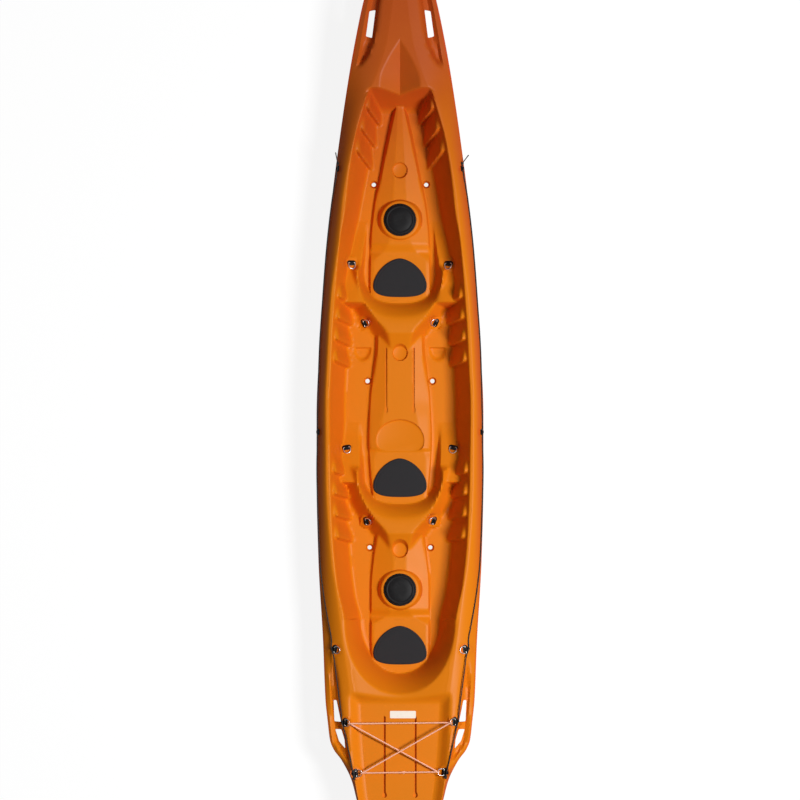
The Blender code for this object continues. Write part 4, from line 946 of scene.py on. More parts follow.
# %% [markdown]
# Shaping helpers
#
# A loft joins rings of the same number of points and closes both ends. A Boolean joins two closed
# shapes or cuts one from the other, and its modifier is applied at once. A spun piece is drawn as
# half its profile and turned about a vertical line, as on a lathe.

# %% Making pieces


def new_piece(name, bm, look, angle=38):
    """Turn a bmesh into a named piece that is smooth up to an angle."""
    mesh = bpy.data.meshes.new(name)
    bm.to_mesh(mesh)
    bm.free()
    made = bpy.data.objects.new(name, mesh)
    bpy.context.collection.objects.link(made)
    mesh.materials.append(look)
    mesh.shade_smooth()
    mesh.set_sharp_from_angle(angle=math.radians(angle))
    return made


def pick_only(thing):
    bpy.ops.object.select_all(action="DESELECT")
    thing.select_set(True)
    bpy.context.view_layer.objects.active = thing


def combine(thing, other, operation, angle=38):
    """Cut another closed piece out of this one, or join it on, and use the other one up."""
    boolean = thing.modifiers.new("combine", "BOOLEAN")
    boolean.operation = operation
    boolean.solver = "MANIFOLD"
    boolean.object = other
    pick_only(thing)
    bpy.ops.object.modifier_apply(modifier=boolean.name)
    bpy.data.objects.remove(other, do_unlink=True)
    thing.data.shade_smooth()
    thing.data.set_sharp_from_angle(angle=math.radians(angle))
    return thing


def loft(bm, rings, frame=None):
    """Join rings of points into a closed skin."""
    frame = frame or Matrix.Identity(4)
    rows = [[bm.verts.new(frame @ Vector(p)) for p in ring] for ring in rings]
    made = [bm.faces.new(rows[0][::-1]), bm.faces.new(rows[-1])]
    for first, second in zip(rows, rows[1:]):
        for i in range(len(first)):
            j = (i + 1) % len(first)
            made.append(bm.faces.new((first[i], first[j], second[j], second[i])))
    bmesh.ops.recalc_face_normals(bm, faces=made)


def outline_at(outline, scale, height):
    return [(x * scale, y * scale, height) for x, y in outline]


def spun(name, profile, look, place, sides=96, angle=38):
    """A round piece: half its profile, (radius, height) pairs, spun about a vertical line."""
    mesh = bpy.data.meshes.new(name)
    closed = profile[0][0] > 0
    edges = [(i, i + 1) for i in range(len(profile) - 1)]
    if closed:
        edges.append((len(profile) - 1, 0))
    mesh.from_pydata([(radius, 0, height) for radius, height in profile], edges, [])
    made = bpy.data.objects.new(name, mesh)
    bpy.context.collection.objects.link(made)
    pick_only(made)
    bpy.ops.object.mode_set(mode="EDIT")
    bpy.ops.mesh.select_all(action="SELECT")
    bpy.ops.mesh.spin(steps=sides, angle=2 * math.pi, center=(0, 0, 0), axis=(0, 0, 1))
    bpy.ops.mesh.select_all(action="SELECT")
    bpy.ops.mesh.remove_doubles(threshold=0.00001)
    bpy.ops.mesh.normals_make_consistent(inside=False)
    bpy.ops.object.mode_set(mode="OBJECT")
    mesh.transform(Matrix.Translation(place))
    mesh.materials.append(look)
    mesh.shade_smooth()
    mesh.set_sharp_from_angle(angle=math.radians(angle))
    return made


# %% Prisms, lofts and what a piece stands for


def add_prism(bm, corners, low, high, frame=None):
    """Add an upright prism over the given corners."""
    frame = frame or Matrix.Identity(4)
    area = sum(a[0] * b[1] - b[0] * a[1] for a, b in zip(corners, corners[1:] + corners[:1]))
    if area < 0:
        corners = corners[::-1]
    bottom, top = [[bm.verts.new(frame @ Vector((x, y, z))) for x, y in corners] for z in (low, high)]
    bm.faces.new(bottom[::-1])
    bm.faces.new(top)
    for i in range(len(corners)):
        j = (i + 1) % len(corners)
        bm.faces.new((bottom[i], bottom[j], top[j], top[i]))


def lofted(name, rings, look, frame=None, angle=38):
    bm = bmesh.new()
    loft(bm, rings, frame)
    return new_piece(name, bm, look, angle)


def prism(name, corners, low, high, look, frame=None):
    bm = bmesh.new()
    add_prism(bm, corners, low, high, frame)
    return new_piece(name, bm, look)


def stand_for(piece, body, node):
    """Let a piece ride with its body in place of a CAD node, which is hidden."""
    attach(piece, body)
    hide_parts(node)


# %% Outlines


def both_sides(places):
    return [(side * x, y) for x, y in places for side in (-1, 1)]


def turns(count, sweep=math.pi):
    """Even steps from 0 to a sweep, both ends with them."""
    return [sweep * i / count for i in range(count + 1)]


def circle(x, y, radius, sides):
    around = [2 * math.pi * (i + 0.5) / sides for i in range(sides)]
    return [(x + radius * math.cos(turn), y + radius * math.sin(turn)) for turn in around]


def oblong(x, y):
    return [(-x, -y), (x, -y), (x, y), (-x, y)]


def stadium(length, width, sides):
    """A long rounded outline along Y."""
    straight = length / 2 - width / 2
    half = [(width / 2 * math.cos(turn), straight + width / 2 * math.sin(turn)) for turn in turns(sides)]
    return half + [(-x, -y) for x, y in half]


def seat_outline(sides, half_width, front, aft, fullness):
    """The rounded D of a seat, wide and nearly straight aft."""
    outline = []
    for turn in turns(sides, 2 * math.pi)[:-1]:
        across_it, along_it = math.sin(turn), math.cos(turn)
        reach = front if along_it > 0 else aft
        power = fullness if along_it > 0 else AFT_FULLNESS
        x = half_width * math.copysign(abs(across_it) ** (2 / power), across_it)
        y = reach * math.copysign(abs(along_it) ** (2 / power), along_it)
        outline.append((x, y))
    return outline


def pad_outline(sides):
    return seat_outline(sides, PAD_HALF_WIDTH, PAD_FRONT_REACH, PAD_AFT_REACH, PAD_FULLNESS)


def groove_outline(x, aft, front, half, pocket):
    """A narrow groove along Y that widens into a small pocket at its aft end."""
    ends = 1 - np.cos(np.linspace(0, math.pi / 2, 8))
    ys = np.concatenate((aft + pocket * ends, np.linspace(aft + pocket + 0.002, aft + 0.034, 10),
                         front - half * ends[::-1]))
    breadth = half + (pocket - half) * ease((aft + POCKET_END - ys) / POCKET_TAPER)
    breadth = breadth * np.sqrt(1 - np.clip(1 - (ys - aft) / pocket, 0, 1) ** 2)
    breadth = breadth * np.sqrt(1 - np.clip(1 - (front - ys) / half, 0, 1) ** 2)
    starboard, port = list(zip(x + breadth, ys)), list(zip(x - breadth, ys))
    return starboard + port[-2:0:-1]


def seat_frame(name, direction):
    """A frame on a fitting's seat: X along its direction on the deck, Z out of the deck."""
    x, y, _, (height, slope_x, slope_y) = SEATS[name]
    up = Vector((-slope_x, -slope_y, 1)).normalized()
    along = Vector((math.cos(math.radians(direction)), math.sin(math.radians(direction)), 0))
    along = (along - up * along.dot(up)).normalized()
    frame = Matrix((along, up.cross(along), up)).transposed().to_4x4()
    frame.translation = Vector((x, y, height)) - up * SEAT_DEPTH
    return frame


def softened(corners, radius):
    """An outline with its corners rounded."""
    points = [Vector((x, y)) for x, y in corners]
    made = []
    for i, corner in enumerate(points):
        before, after = points[i - 1] - corner, points[(i + 1) % len(points)] - corner
        reach = min(radius, before.length / 3, after.length / 3)
        start, end = corner + before.normalized() * reach, corner + after.normalized() * reach
        for t in turns(4, 1.0):
            made.append(tuple(start * (1 - t) ** 2 + corner * 2 * t * (1 - t) + end * t * t))
    return made


# %% [markdown]
# The hull
#
# The real hull is rotomoulded in one piece, so it is made here as one closed skin with an inside.
# The hatch bosses are joined on, and the inside, the grab slots, the hatch holes, the drain holes and
# the fittings' flat seats are cut out. Each point's share of painted shade, by how steep it is, goes
# into the mesh for the material.

# %% Outer skin


def make_shell():
    """The outer skin with its hatch bosses."""
    rings = [section_ring(y) for y in stations(HULL_STEP, TIP)]
    shell = new_piece("hull_moulding", skin_of_rings(rings), HULL_PLASTIC)
    foot = BOSS_HEIGHT - BOSS_SKIRT
    for name, y in HATCHES.items():
        profile = [(0, foot - 0.001), (BOSS_FOOT, foot - 0.001), (BOSS_FOOT, foot)]
        profile += [(BOSS_RADIUS + out, BOSS_HEIGHT - down) for out, down in BOSS_EDGE] + [(0, BOSS_HEIGHT)]
        combine(shell, spun(name + "_boss", profile, HULL_PLASTIC, (0, y, 0)), "UNION")
    return shell


hull = make_shell()
print("outer skin", len(stations(HULL_STEP, TIP)), "cross-sections", len(hull.data.polygons), "faces")


# %% Space inside


def cut_space(hull):
    """Cut out the space inside, which keeps a wall round each drain hole."""
    rings = [hollow_ring(y) for y in stations(HOLLOW_STEP, HOLLOW_REACH)]
    space = new_piece("space_inside", skin_of_rings(rings), HULL_PLASTIC)
    tubes = bmesh.new()
    for x, y in both_sides(SCUPPERS):
        add_prism(tubes, circle(x, y, SCUPPER_RADIUS + WALL, 24), -0.05, 0.2)
    combine(space, new_piece("scupper_tubes", tubes, HULL_PLASTIC), "DIFFERENCE")
    combine(hull, space, "DIFFERENCE")


cut_space(hull)


# %% Holes right through


def cut_holes(hull):
    """Cut the drain holes, the grab slots, the hatch necks and the drain plug's hole."""
    holes = bmesh.new()
    for x, y in both_sides(SCUPPERS):
        add_prism(holes, circle(x, y, SCUPPER_RADIUS, 32), -0.05, 0.2)
    for corners in GRAB_SLOTS.values():
        for side in (-1, 1):
            add_prism(holes, softened([(side * x, y) for x, y in corners], 0.006), 0.1, 0.5)
    for y in HATCHES.values():
        add_prism(holes, circle(0, y, HATCH_HOLE, 96), BOSS_HEIGHT - 0.050, BOSS_HEIGHT + 0.05)
    add_prism(holes, circle(0, DRAIN_Y, DRAIN_HOLE, 40), DRAIN_HEIGHT - 0.070, DRAIN_HEIGHT + 0.05)
    combine(hull, new_piece("holes", holes, HULL_PLASTIC), "DIFFERENCE")


cut_holes(hull)
print("hollow hull", len(hull.data.polygons), "faces")


# %% What is sunk into the deck
DIMPLE_STEPS = ((0.80, 0.0), (0.86, 0.0008), (0.91, 0.003), (1.40, 0.050))
CHILD_SEAT_STEPS = (
    (0.90, 0.0), (0.95, 0.0012), (0.985, 0.0040), (1.0, 0.0100), (1.03, 0.0160), (1.08, 0.0500))


def add_dish(bm, x, y, rings, sides):
    """Add a round dish, its (radius, height) rings from the bottom up."""
    loft(bm, [[(px, py, height) for px, py in circle(x, y, radius, sides)] for radius, height in rings])


def cut_seats(hull):
    """Cut what is sunk into the deck: dimples, pans, grooves, dished holes and the fittings' seats."""
    seats = bmesh.new()
    dimple = [(DIMPLE_RADIUS * scale, DIMPLE_FLOOR + rise) for scale, rise in DIMPLE_STEPS]
    for x, y in DIMPLES:
        add_dish(seats, x, y, dimple, 48)
    for y in PAD_MIDDLES:
        recess = [(px * RECESS_SHARE, y + PAD_SHIFT + py * RECESS_SHARE) for px, py in pad_outline(96)]
        add_prism(seats, recess, PAN_HEIGHT - PAD_RECESS, PAN_HEIGHT + 0.030)
    d_shape = seat_outline(96, CHILD_SEAT_HALF_WIDTH, *CHILD_SEAT_REACH, CHILD_SEAT_FULLNESS)
    loft(seats, [outline_at(d_shape, scale, CHILD_PAN + rise) for scale, rise in CHILD_SEAT_STEPS],
         Matrix.Translation((0, CHILD_SEAT_Y, 0)))
    for x, aft, front, low, half, pocket in GROOVES:
        for side in (-1, 1):
            add_prism(seats, groove_outline(side * x, aft, front, half, pocket), low, low + 0.050)
    for x, y in both_sides(SCUPPERS):
        add_dish(seats, x, y, [(radius, FLOOR + height) for radius, height in SCUPPER_DISH], 40)
    for name, (_, _, radius, _) in SEATS.items():
        add_prism(seats, circle(0, 0, radius, 40), 0.0, 0.012, seat_frame(name, 0))
    combine(hull, new_piece("flat_seats", seats, HULL_PLASTIC), "DIFFERENCE", angle=34)


cut_seats(hull)


# %% Steepness, for painted shade


def mark_steep_shade(hull):
    """Keep each point's share of painted shade, from its steepness, in the mesh, more of it outside the
    rails.
    """
    vertices = hull.data.vertices
    places, normals = np.zeros((2, len(vertices) * 3), np.float32)
    vertices.foreach_get("co", places)
    vertices.foreach_get("normal", normals)
    breadth, along, upright = np.abs(places[0::3]), places[1::3], np.abs(normals[2::3])
    crest, edge = through(CREST_BREADTH, along), through(EDGE_BREADTH, along)
    outside = ease((breadth - crest) / np.maximum(edge - crest, 0.01) * 2.0)
    # The steeper a point, the more painted shade it gets, and more again outside the rails.
    steep_shade = ease((0.80 - upright) / 0.50) * (0.36 + 0.28 * outside)
    attribute = hull.data.attributes.new("steep_shade", "FLOAT", "POINT")
    attribute.data.foreach_set("value", steep_shade.astype(np.float32))


mark_steep_shade(hull)
stand_for(hull, "hull", "hull")
print("hull", len(hull.data.polygons), "faces")


# %% [markdown]
# The hatches
#
# Each hatch is a nylon rim let into its boss, a rubber ring and a lid that is pressed in. Seen from
# above, rim and lid are one black disc. The lid's edge has shallow scallops for wet fingers and a
# pressed ring that keeps its top flat; the top is bare.

# %% Rims, seals and lids
SEAL_RADIUS, SEAL_THICKNESS, SEAL_HEIGHT = 0.0648, 0.0017, 0.0050
# Shallow scallops round the lid's edge: how many, how deep, how far in and from what height
SCALLOPS, SCALLOP_DEPTH, SCALLOP_BAND, SCALLOP_FOOT = 24, 0.0013, 0.0040, 0.0072


def make_hatch(name, y):
    place = (0, y, BOSS_HEIGHT + GAP)
    outer, lid = FLANGE_RADIUS, LID_RADIUS
    rim = [(COLLAR_BORE, -0.026), (COLLAR_RADIUS, -0.026), (COLLAR_RADIUS, 0.0), (outer, 0.0),
           (outer, 0.0030), (outer - 0.0006, 0.0044), (outer - 0.0018, 0.0056), (outer - 0.0034, 0.0063),
           (outer - 0.0048, 0.0065), (lid + 0.0016, 0.0065), (lid + 0.0010, 0.0060), (lid + 0.0010, 0.0030),
           (COLLAR_BORE, 0.0030)]
    rim = spun(name + "_rim", rim, BLACK_PLASTIC, place)
    stand_for(rim, "hull", name + "_hatch_rim")

    bpy.ops.object.select_all(action="DESELECT")
    bpy.ops.mesh.primitive_torus_add(major_radius=SEAL_RADIUS, minor_radius=SEAL_THICKNESS,
                                     major_segments=96, minor_segments=14)
    seal = bpy.context.object
    seal.name = name + "_seal"
    seal.data.transform(Matrix.Translation((0, y, place[2] + SEAL_HEIGHT)))
    seal.data.materials.append(RUBBER)
    seal.data.shade_smooth()
    stand_for(seal, "hull", name + "_hatch_seal")

    half = [(0, -0.0130), (PLUG_RADIUS - 0.0020, -0.0130), (PLUG_RADIUS - 0.0006, -0.0122),
            (PLUG_RADIUS, -0.0106), (PLUG_RADIUS, 0.0070), (lid, 0.0070), (lid, 0.0100),
            (lid - 0.0005, 0.0114), (lid - 0.0016, 0.0125), (lid - 0.0034, 0.0130), (0.0600, 0.0130),
            (0.0592, 0.0127), (0.0586, 0.0121), (0.0566, 0.0121), (0.0560, 0.0127), (0.0552, 0.0130),
            (0.0240, 0.0130), (0.0, 0.0130)]
    cover = spun(name + "_lid", half, BLACK_PLASTIC, place, sides=144)
    for vertex in cover.data.vertices:
        x, away, z = vertex.co.x, vertex.co.y - y, vertex.co.z - place[2]
        radius = math.hypot(x, away)
        if radius > lid - SCALLOP_BAND and z > SCALLOP_FOOT:
            part = 0.5 + 0.5 * math.cos(SCALLOPS * math.atan2(away, x))
            share = 1 - SCALLOP_DEPTH * part ** 3 / radius
            vertex.co.x, vertex.co.y = x * share, y + away * share
    stand_for(cover, name + "_hatch_lid", name + "_hatch_lid")


for name, y in HATCHES.items():
    make_hatch(name, y)
print("hatches", list(HATCHES))


# %% [markdown]
# The seat pads
#
# Each pad is cut from foam sheet and pressed: its edge is drawn down and in all round, a pressed
# line runs inside the edge, and the middle keeps a slight crown. That form is a loft of the same
# rounded D at changing sizes and heights. At 8 mm thick it has no slack to simulate, so its softness
# is in these heights and in a subdivision.

# %% Seat pads
PAD_STEPS = (
    (0.972, 0.0000), (0.990, 0.0006), (1.000, 0.0024), (0.998, 0.0042), (0.986, 0.0057), (0.966, 0.0066),
    (0.935, 0.0071), (0.918, 0.0070), (0.906, 0.0064), (0.894, 0.0064), (0.882, 0.0071), (0.860, 0.0075),
    (0.760, 0.0079), (0.600, 0.0082), (0.400, 0.0084), (0.200, 0.0085), (0.050, 0.0085))


def make_pad(number, y):
    outline = pad_outline(96)
    rings = [outline_at(outline, scale, height) for scale, height in PAD_STEPS]
    pad = lofted("pad_%d" % number, rings, FOAM, angle=60)
    pad.data.transform(Matrix.Translation((0, y + PAD_SHIFT, PAN_HEIGHT - PAD_RECESS + GAP)))
    rounder = pad.modifiers.new("rounder", "SUBSURF")
    rounder.levels = rounder.render_levels = 1
    pick_only(pad)
    bpy.ops.object.modifier_apply(modifier=rounder.name)
    stand_for(pad, "hull", "seat_pad_%d" % number)


for number, y in enumerate(PAD_MIDDLES, 1):
    make_pad(number, y)
print("pads", len(PAD_MIDDLES), "each", round(2 * PAD_HALF_WIDTH, 3), "m wide")


# %% [markdown]
# Screws
#
# Every eye and guide is held by two pan-head screws. One head is lofted, a cross is cut into it,
# and it is copied to each place.

# %% One screw head


def make_screw():
    shape = circle(0, 0, 1.0, 24)
    steps = ((0.0034, -0.0006), (0.0034, 0.0004), (0.0032, 0.0010), (0.0026, 0.0015), (0.0016, 0.0018))
    head = lofted("screw_head", [outline_at(shape, radius, height) for radius, height in steps], SCREW_STEEL)
    for x, y in ((0.0021, 0.0005), (0.0005, 0.0021)):
        combine(head, prism("cross", oblong(x, y), 0.0007, 0.004, SCREW_STEEL), "DIFFERENCE")
    return head


screw_head = make_screw()
print("screw head", len(screw_head.data.polygons), "faces")


def add_screws(name, frame, places, size):
    """Screw heads on a fitting, as one piece that rides with it."""
    bm = bmesh.new()
    for i, place in enumerate(places):
        turn = Matrix.Rotation(0.7 + 1.1 * i, 4, "Z")
        mesh = screw_head.data.copy()
        mesh.transform(frame @ Matrix.Translation(place) @ turn @ Matrix.Scale(size, 4))
        bm.from_mesh(mesh)
        bpy.data.meshes.remove(mesh)
    screws = new_piece(name + "_screws", bm, SCREW_STEEL)
    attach(screws, "hull")


# %% [markdown]
# Tubes along a path
#
# Rings, lines and cords are tubes. A tube's rings of points turn as little as they can on the way,
# so it never twists, and its UV map runs round it in U and along it in V, in turns of the braid.

# %% Tubes
# Longest step along a cord's path
PATH_STEP = 0.012


def tube(name, look, points, radii, sides=14, closed=False, turn_length=0.012):
    """A tube along points, whose rings turn as little as they can on the way."""
    points = [Vector(p) for p in points]
    count = len(points)
    if not hasattr(radii, "__len__"):
        radii = [radii] * count
    tangents = []
    for i in range(count):
        before = points[i - 1] if closed or i > 0 else points[i]
        after = points[(i + 1) % count] if closed or i < count - 1 else points[i]
        first = (points[i] - before).normalized() if points[i] != before else Vector()
        second = (after - points[i]).normalized() if after != points[i] else Vector()
        tangents.append((first + second).normalized())
    normals = [tangents[0].orthogonal().normalized()]
    for previous, tangent in zip(tangents, tangents[1:]):
        normals.append((previous.rotation_difference(tangent) @ normals[-1]).normalized())
    twist = 0.0
    if closed:
        end = tangents[-1].rotation_difference(tangents[0]) @ normals[-1]
        twist = math.atan2(tangents[0].dot(end.cross(normals[0])), end.dot(normals[0]))
    bm = bmesh.new()
    uv = bm.loops.layers.uv.new("UVMap")
    rows, along = [], [0.0]
    for i, (point, tangent, normal) in enumerate(zip(points, tangents, normals)):
        other = tangent.cross(normal)
        row = []
        for k in range(sides):
            turn = 2 * math.pi * k / sides + twist * i / count
            row.append(bm.verts.new(point + radii[i] * (normal * math.cos(turn) + other * math.sin(turn))))
        rows.append(row)
        along.append(along[-1] + (points[(i + 1) % count] - point).length / turn_length)
    for i in range(count if closed else count - 1):
        first, second = rows[i], rows[(i + 1) % count]
        for k in range(sides):
            m = (k + 1) % sides
            face = bm.faces.new((first[k], first[m], second[m], second[k]))
            corners = ((k, i), (k + 1, i), (k + 1, i + 1), (k, i + 1))
            for loop, (around, at) in zip(face.loops, corners):
                loop[uv].uv = (around / sides, along[at])
    if not closed:
        bm.faces.new(rows[0][::-1])
        bm.faces.new(rows[-1])
    return new_piece(name, bm, look, angle=50)


def smooth_path(points, longest):
    """More points on the same way, on a smooth curve through the given ones."""
    points = [Vector(p) for p in points]
    path = [points[0]]
    for i in range(len(points) - 1):
        a, b = points[max(i - 1, 0)], points[i]
        c, d = points[i + 1], points[min(i + 2, len(points) - 1)]
        gap = (c - b).length
        lead = (c - a).normalized() * gap if c != a else (c - b)
        tail = (d - b).normalized() * gap if d != b else (c - b)
        steps = max(1, math.ceil(gap / longest))
        for k in range(1, steps + 1):
            t = k / steps
            path.append(b * (1 + 2 * t) * (1 - t) ** 2 + c * t * t * (3 - 2 * t)
                        + lead * t * (1 - t) ** 2 - tail * t * t * (1 - t))
    return path


def path_length(points):
    return sum((b - a).length for a, b in zip(points, points[1:]))


def trefoil(frame, size):
    """The way of a tight overhand knot, flat on its XY plane."""
    return [frame @ (Vector((math.sin(t) + 2 * math.sin(2 * t), math.cos(t) - 2 * math.cos(2 * t),
                             -math.sin(3 * t))) * size) for t in turns(48, 2 * math.pi)[:-1]]


# %% [markdown]
# Pad eyes and rings
#
# A pad eye is a nylon plate screwed to the deck, with an arch in the middle that a steel D ring
# lies in. Where the deck line passes, the plate has a second, smaller arch outboard. Plate and
# arches are lofted with rounded edges, joined, and the ways for wire and line are cut through them.

# %% Plates with arches
# Turns a prism that stands upright so that it lies along Y
LAID_DOWN = Matrix(((1, 0, 0, 0), (0, 0, -1, 0), (0, 1, 0, 0), (0, 0, 0, 1)))
# Room round a wire or a line in its way
WAY_ROOM = 0.0004
# An eye's arches, for the ring's bar and for the line: width, and height over the way's middle
SADDLE_WIDTH, SADDLE_COVER = 0.0096, 0.0048
LINE_ARCH_WIDTH, LINE_ARCH_COVER, LINE_ARCH_LENGTH = 0.0100, 0.0050, 0.010
LOBE_RADIUS = 0.0085
EYE_SCREW = 0.0160


def rounded_arch(width, height, length):
    """A hump with rounded ends, whose sides stand on the plate, lying along Y."""
    arc = [(width / 2 * math.cos(t), height - width / 2 + width / 2 * math.sin(t)) for t in turns(16)]
    profile = [(width / 2, 0.0006)] + arc + [(-width / 2, 0.0006)]
    rings = []
    for inset, scale in ((0.0, 0.86), (0.0003, 0.93), (0.0010, 0.98), (0.0020, 1.0)):
        rings.append([(x * scale, -length / 2 + inset, z * scale if z > 0.001 else z) for x, z in profile])
    return rings + [[(x, -y, z) for x, y, z in ring] for ring in rings[::-1]]


def plate_rings(outline, thickness):
    """A flat plate whose top edge is rounded."""
    steps = ((1.0, 0.0), (1.0, thickness - 0.0012), (0.975, thickness - 0.0004), (0.94, thickness))
    return [outline_at(outline, scale, height) for scale, height in steps]


def make_fitting(name, foot, plate, humps, tunnels, screws, screw_size):
    """A plate with arches on it and round ways through them."""
    base = lofted(name + "_body", plate, BLACK_PLASTIC, foot, angle=42)
    for rings, frame in humps:
        combine(base, lofted("hump", rings, BLACK_PLASTIC, frame), "UNION", angle=42)
    for radius, height, reach, frame in tunnels:
        way = prism("way", circle(0, height, radius, 20), -reach, reach, BLACK_PLASTIC, frame @ LAID_DOWN)
        combine(base, way, "DIFFERENCE", angle=42)
    stand_for(base, "hull", name)
    add_screws(name, foot, screws, screw_size)


# %% Eyes and rings


def make_eye(name, direction, lift, line_angle):
    foot = seat_frame(name, direction) @ Matrix.Translation((0, 0, GAP))
    plate = plate_rings(stadium(EYE_LENGTH, EYE_WIDTH, 20), EYE_THICKNESS)
    humps = [(rounded_arch(SADDLE_WIDTH, BAR_HEIGHT + SADDLE_COVER, SADDLE_LENGTH), foot)]
    tunnels = [(WIRE_RADIUS + WAY_ROOM, BAR_HEIGHT, 0.04, foot)]
    if line_angle is not None:
        turn = Matrix.Rotation(math.radians(line_angle - direction) + math.pi / 2, 4, "Z")
        lobe = foot @ Matrix.Translation((-LINE_OFFSET, 0, 0)) @ turn
        humps.append((plate_rings(circle(0, 0, LOBE_RADIUS, 36), EYE_THICKNESS), lobe))
        arch = rounded_arch(LINE_ARCH_WIDTH, LINE_HEIGHT + LINE_ARCH_COVER, LINE_ARCH_LENGTH)
        humps.append((arch, lobe))
        tunnels.append((LINE_RADIUS + WAY_ROOM, LINE_HEIGHT, 0.007, lobe))
    screws = [(0, -EYE_SCREW, EYE_THICKNESS), (0, EYE_SCREW, EYE_THICKNESS)]
    make_fitting(name + "_eye", foot, plate, humps, tunnels, screws, screw_size=0.80)

    half, straight, bend = RING_HALF_WIDTH, RING_REACH - RING_HALF_WIDTH, 0.004
    quarter = turns(5, math.pi / 2)
    outline = [(bend - bend * math.cos(t), half - bend + bend * math.sin(t), 0) for t in quarter]
    outline += [(straight + half * math.sin(t), half * math.cos(t), 0) for t in turns(28)]
    outline += [(bend - bend * math.sin(t), -half + bend - bend * math.cos(t), 0) for t in quarter]
    tilt = Matrix.Rotation(math.radians(-lift), 4, "Y")
    frame_of_ring = foot @ Matrix.Translation((0, 0, BAR_HEIGHT)) @ tilt
    ring = tube(name + "_steel_ring", STEEL, [frame_of_ring @ Vector(p) for p in outline], WIRE_RADIUS,
                sides=16, closed=True)
    body = name + "_ring"
    stand_for(ring, body if body in frame["bodies"] else "hull", body)


for name, (_, _, direction) in EYES.items():
    make_eye(name, direction, RAISED.get(name, 0), LINE_ANGLES.get(name))
print("eyes", len(EYES))


# %% Guides
GUIDE_LENGTH, GUIDE_WIDTH, GUIDE_THICKNESS, GUIDE_SCREW = 0.030, 0.018, 0.0025, 0.0108
GUIDE_ARCH_WIDTH, GUIDE_ARCH_COVER, GUIDE_ARCH_LENGTH = 0.0110, 0.0055, 0.014


def make_guide(name, direction):
    foot = seat_frame(name, direction - 90) @ Matrix.Translation((0, 0, GAP))
    plate = plate_rings(stadium(GUIDE_LENGTH, GUIDE_WIDTH, 16), GUIDE_THICKNESS)
    humps = [(rounded_arch(GUIDE_ARCH_WIDTH, LINE_HEIGHT + GUIDE_ARCH_COVER, GUIDE_ARCH_LENGTH), foot)]
    tunnels = [(LINE_RADIUS + WAY_ROOM, LINE_HEIGHT, 0.02, foot)]
    screws = [(0, -GUIDE_SCREW, GUIDE_THICKNESS), (0, GUIDE_SCREW, GUIDE_THICKNESS)]
    make_fitting(name, foot, plate, humps, tunnels, screws, screw_size=0.75)


for name, direction in GUIDE_ANGLES.items():
    make_guide(name, direction)
bpy.data.objects.remove(screw_head, do_unlink=True)
print("guides", len(GUIDE_ANGLES))


# %% [markdown]
# The deck lines
#
# A deck line is one length of braided polyester on each side. It starts at a stopper knot forward
# of the bow guide, follows the deck's edge through the middle guide, turns inboard to the last
# seat's eye, crosses the grab slots and ends in a knot aft of the tank well's last eye. It is pulled
# taut, so it lies along the deck between its fittings. A short tail stands out of the bow knot.

# %% Deck lines


def over_deck(x, y, lift):
    """A point above the deck, the given distance out of it."""
    step = 0.002
    xs = np.array([x, x + step, x - step, x, x])
    ys = np.array([y, y, y, y + step, y - step])
    zs = deck_height(xs, ys)
    out = Vector((-(zs[1] - zs[2]) / (2 * step), -(zs[3] - zs[4]) / (2 * step), 1)).normalized()
    return Vector((x, y, zs[0])) + out * lift


def tunnel_ends(name, direction, offset, line_angle, reach):
    """The two ends of the straight piece of line in a fitting's tunnel, bow end first."""
    frame = seat_frame(name, direction) @ Matrix.Translation((-offset, 0, GAP + LINE_HEIGHT))
    turn = Matrix.Rotation(math.radians(line_angle - direction) + math.pi / 2, 4, "Z")
    ends = [frame @ turn @ Vector((0, along, 0)) for along in (-reach, reach)]
    return sorted(ends, key=lambda end: -end.y)


def above_deck(x, y, lift):
    """A point straight above the highest deck close by on either side."""
    xs = x + np.linspace(-0.012, 0.012, 7)
    return Vector((x, y, deck_height(xs, np.full_like(xs, y)).max() + lift))


def line_way(way, side, place):
    """Points over the deck along one of the line's free ways, close enough to follow its curve."""
    count = int((way[0][1] - way[-1][1]) / LINE_STEP) + 2
    ys = np.linspace(way[0][1], way[-1][1], count)
    breadths = through([(y, x) for x, y in way[::-1]], ys)
    return [place(side * x, y, LINE_LIFT) for x, y in zip(breadths, ys)]


def add_knot(name, look, size, place, along, up, turn_length=0.012):
    """A tight overhand knot on a cord, its Z out of the deck and its X along the cord."""
    along = along.normalized()
    up = (up - along * up.dot(along)).normalized()
    frame = Matrix((along, up.cross(along), up)).transposed().to_4x4()
    frame.translation = place
    knot = tube(name, look, trefoil(frame, size), KNOT_STRAND, sides=12, closed=True,
                turn_length=turn_length)
    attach(knot, "hull")
    return knot


def lay_taut(cord, path, node):
    """Let a taut cord stand for a CAD cord, riding with the hull, and print how long it is."""
    stand_for(cord, "hull", node)
    path_length(path)
    print(node, round(path_length(path), 3), "m")


# How far each side's loose tail reaches out and forward, and its radii, with a sealed end
TAILS = {"port": (-0.010, 0.052), "starboard": (0.030, 0.040)}
TAIL_RADII = [0.0024] * 11 + [0.0027, 0.0025]


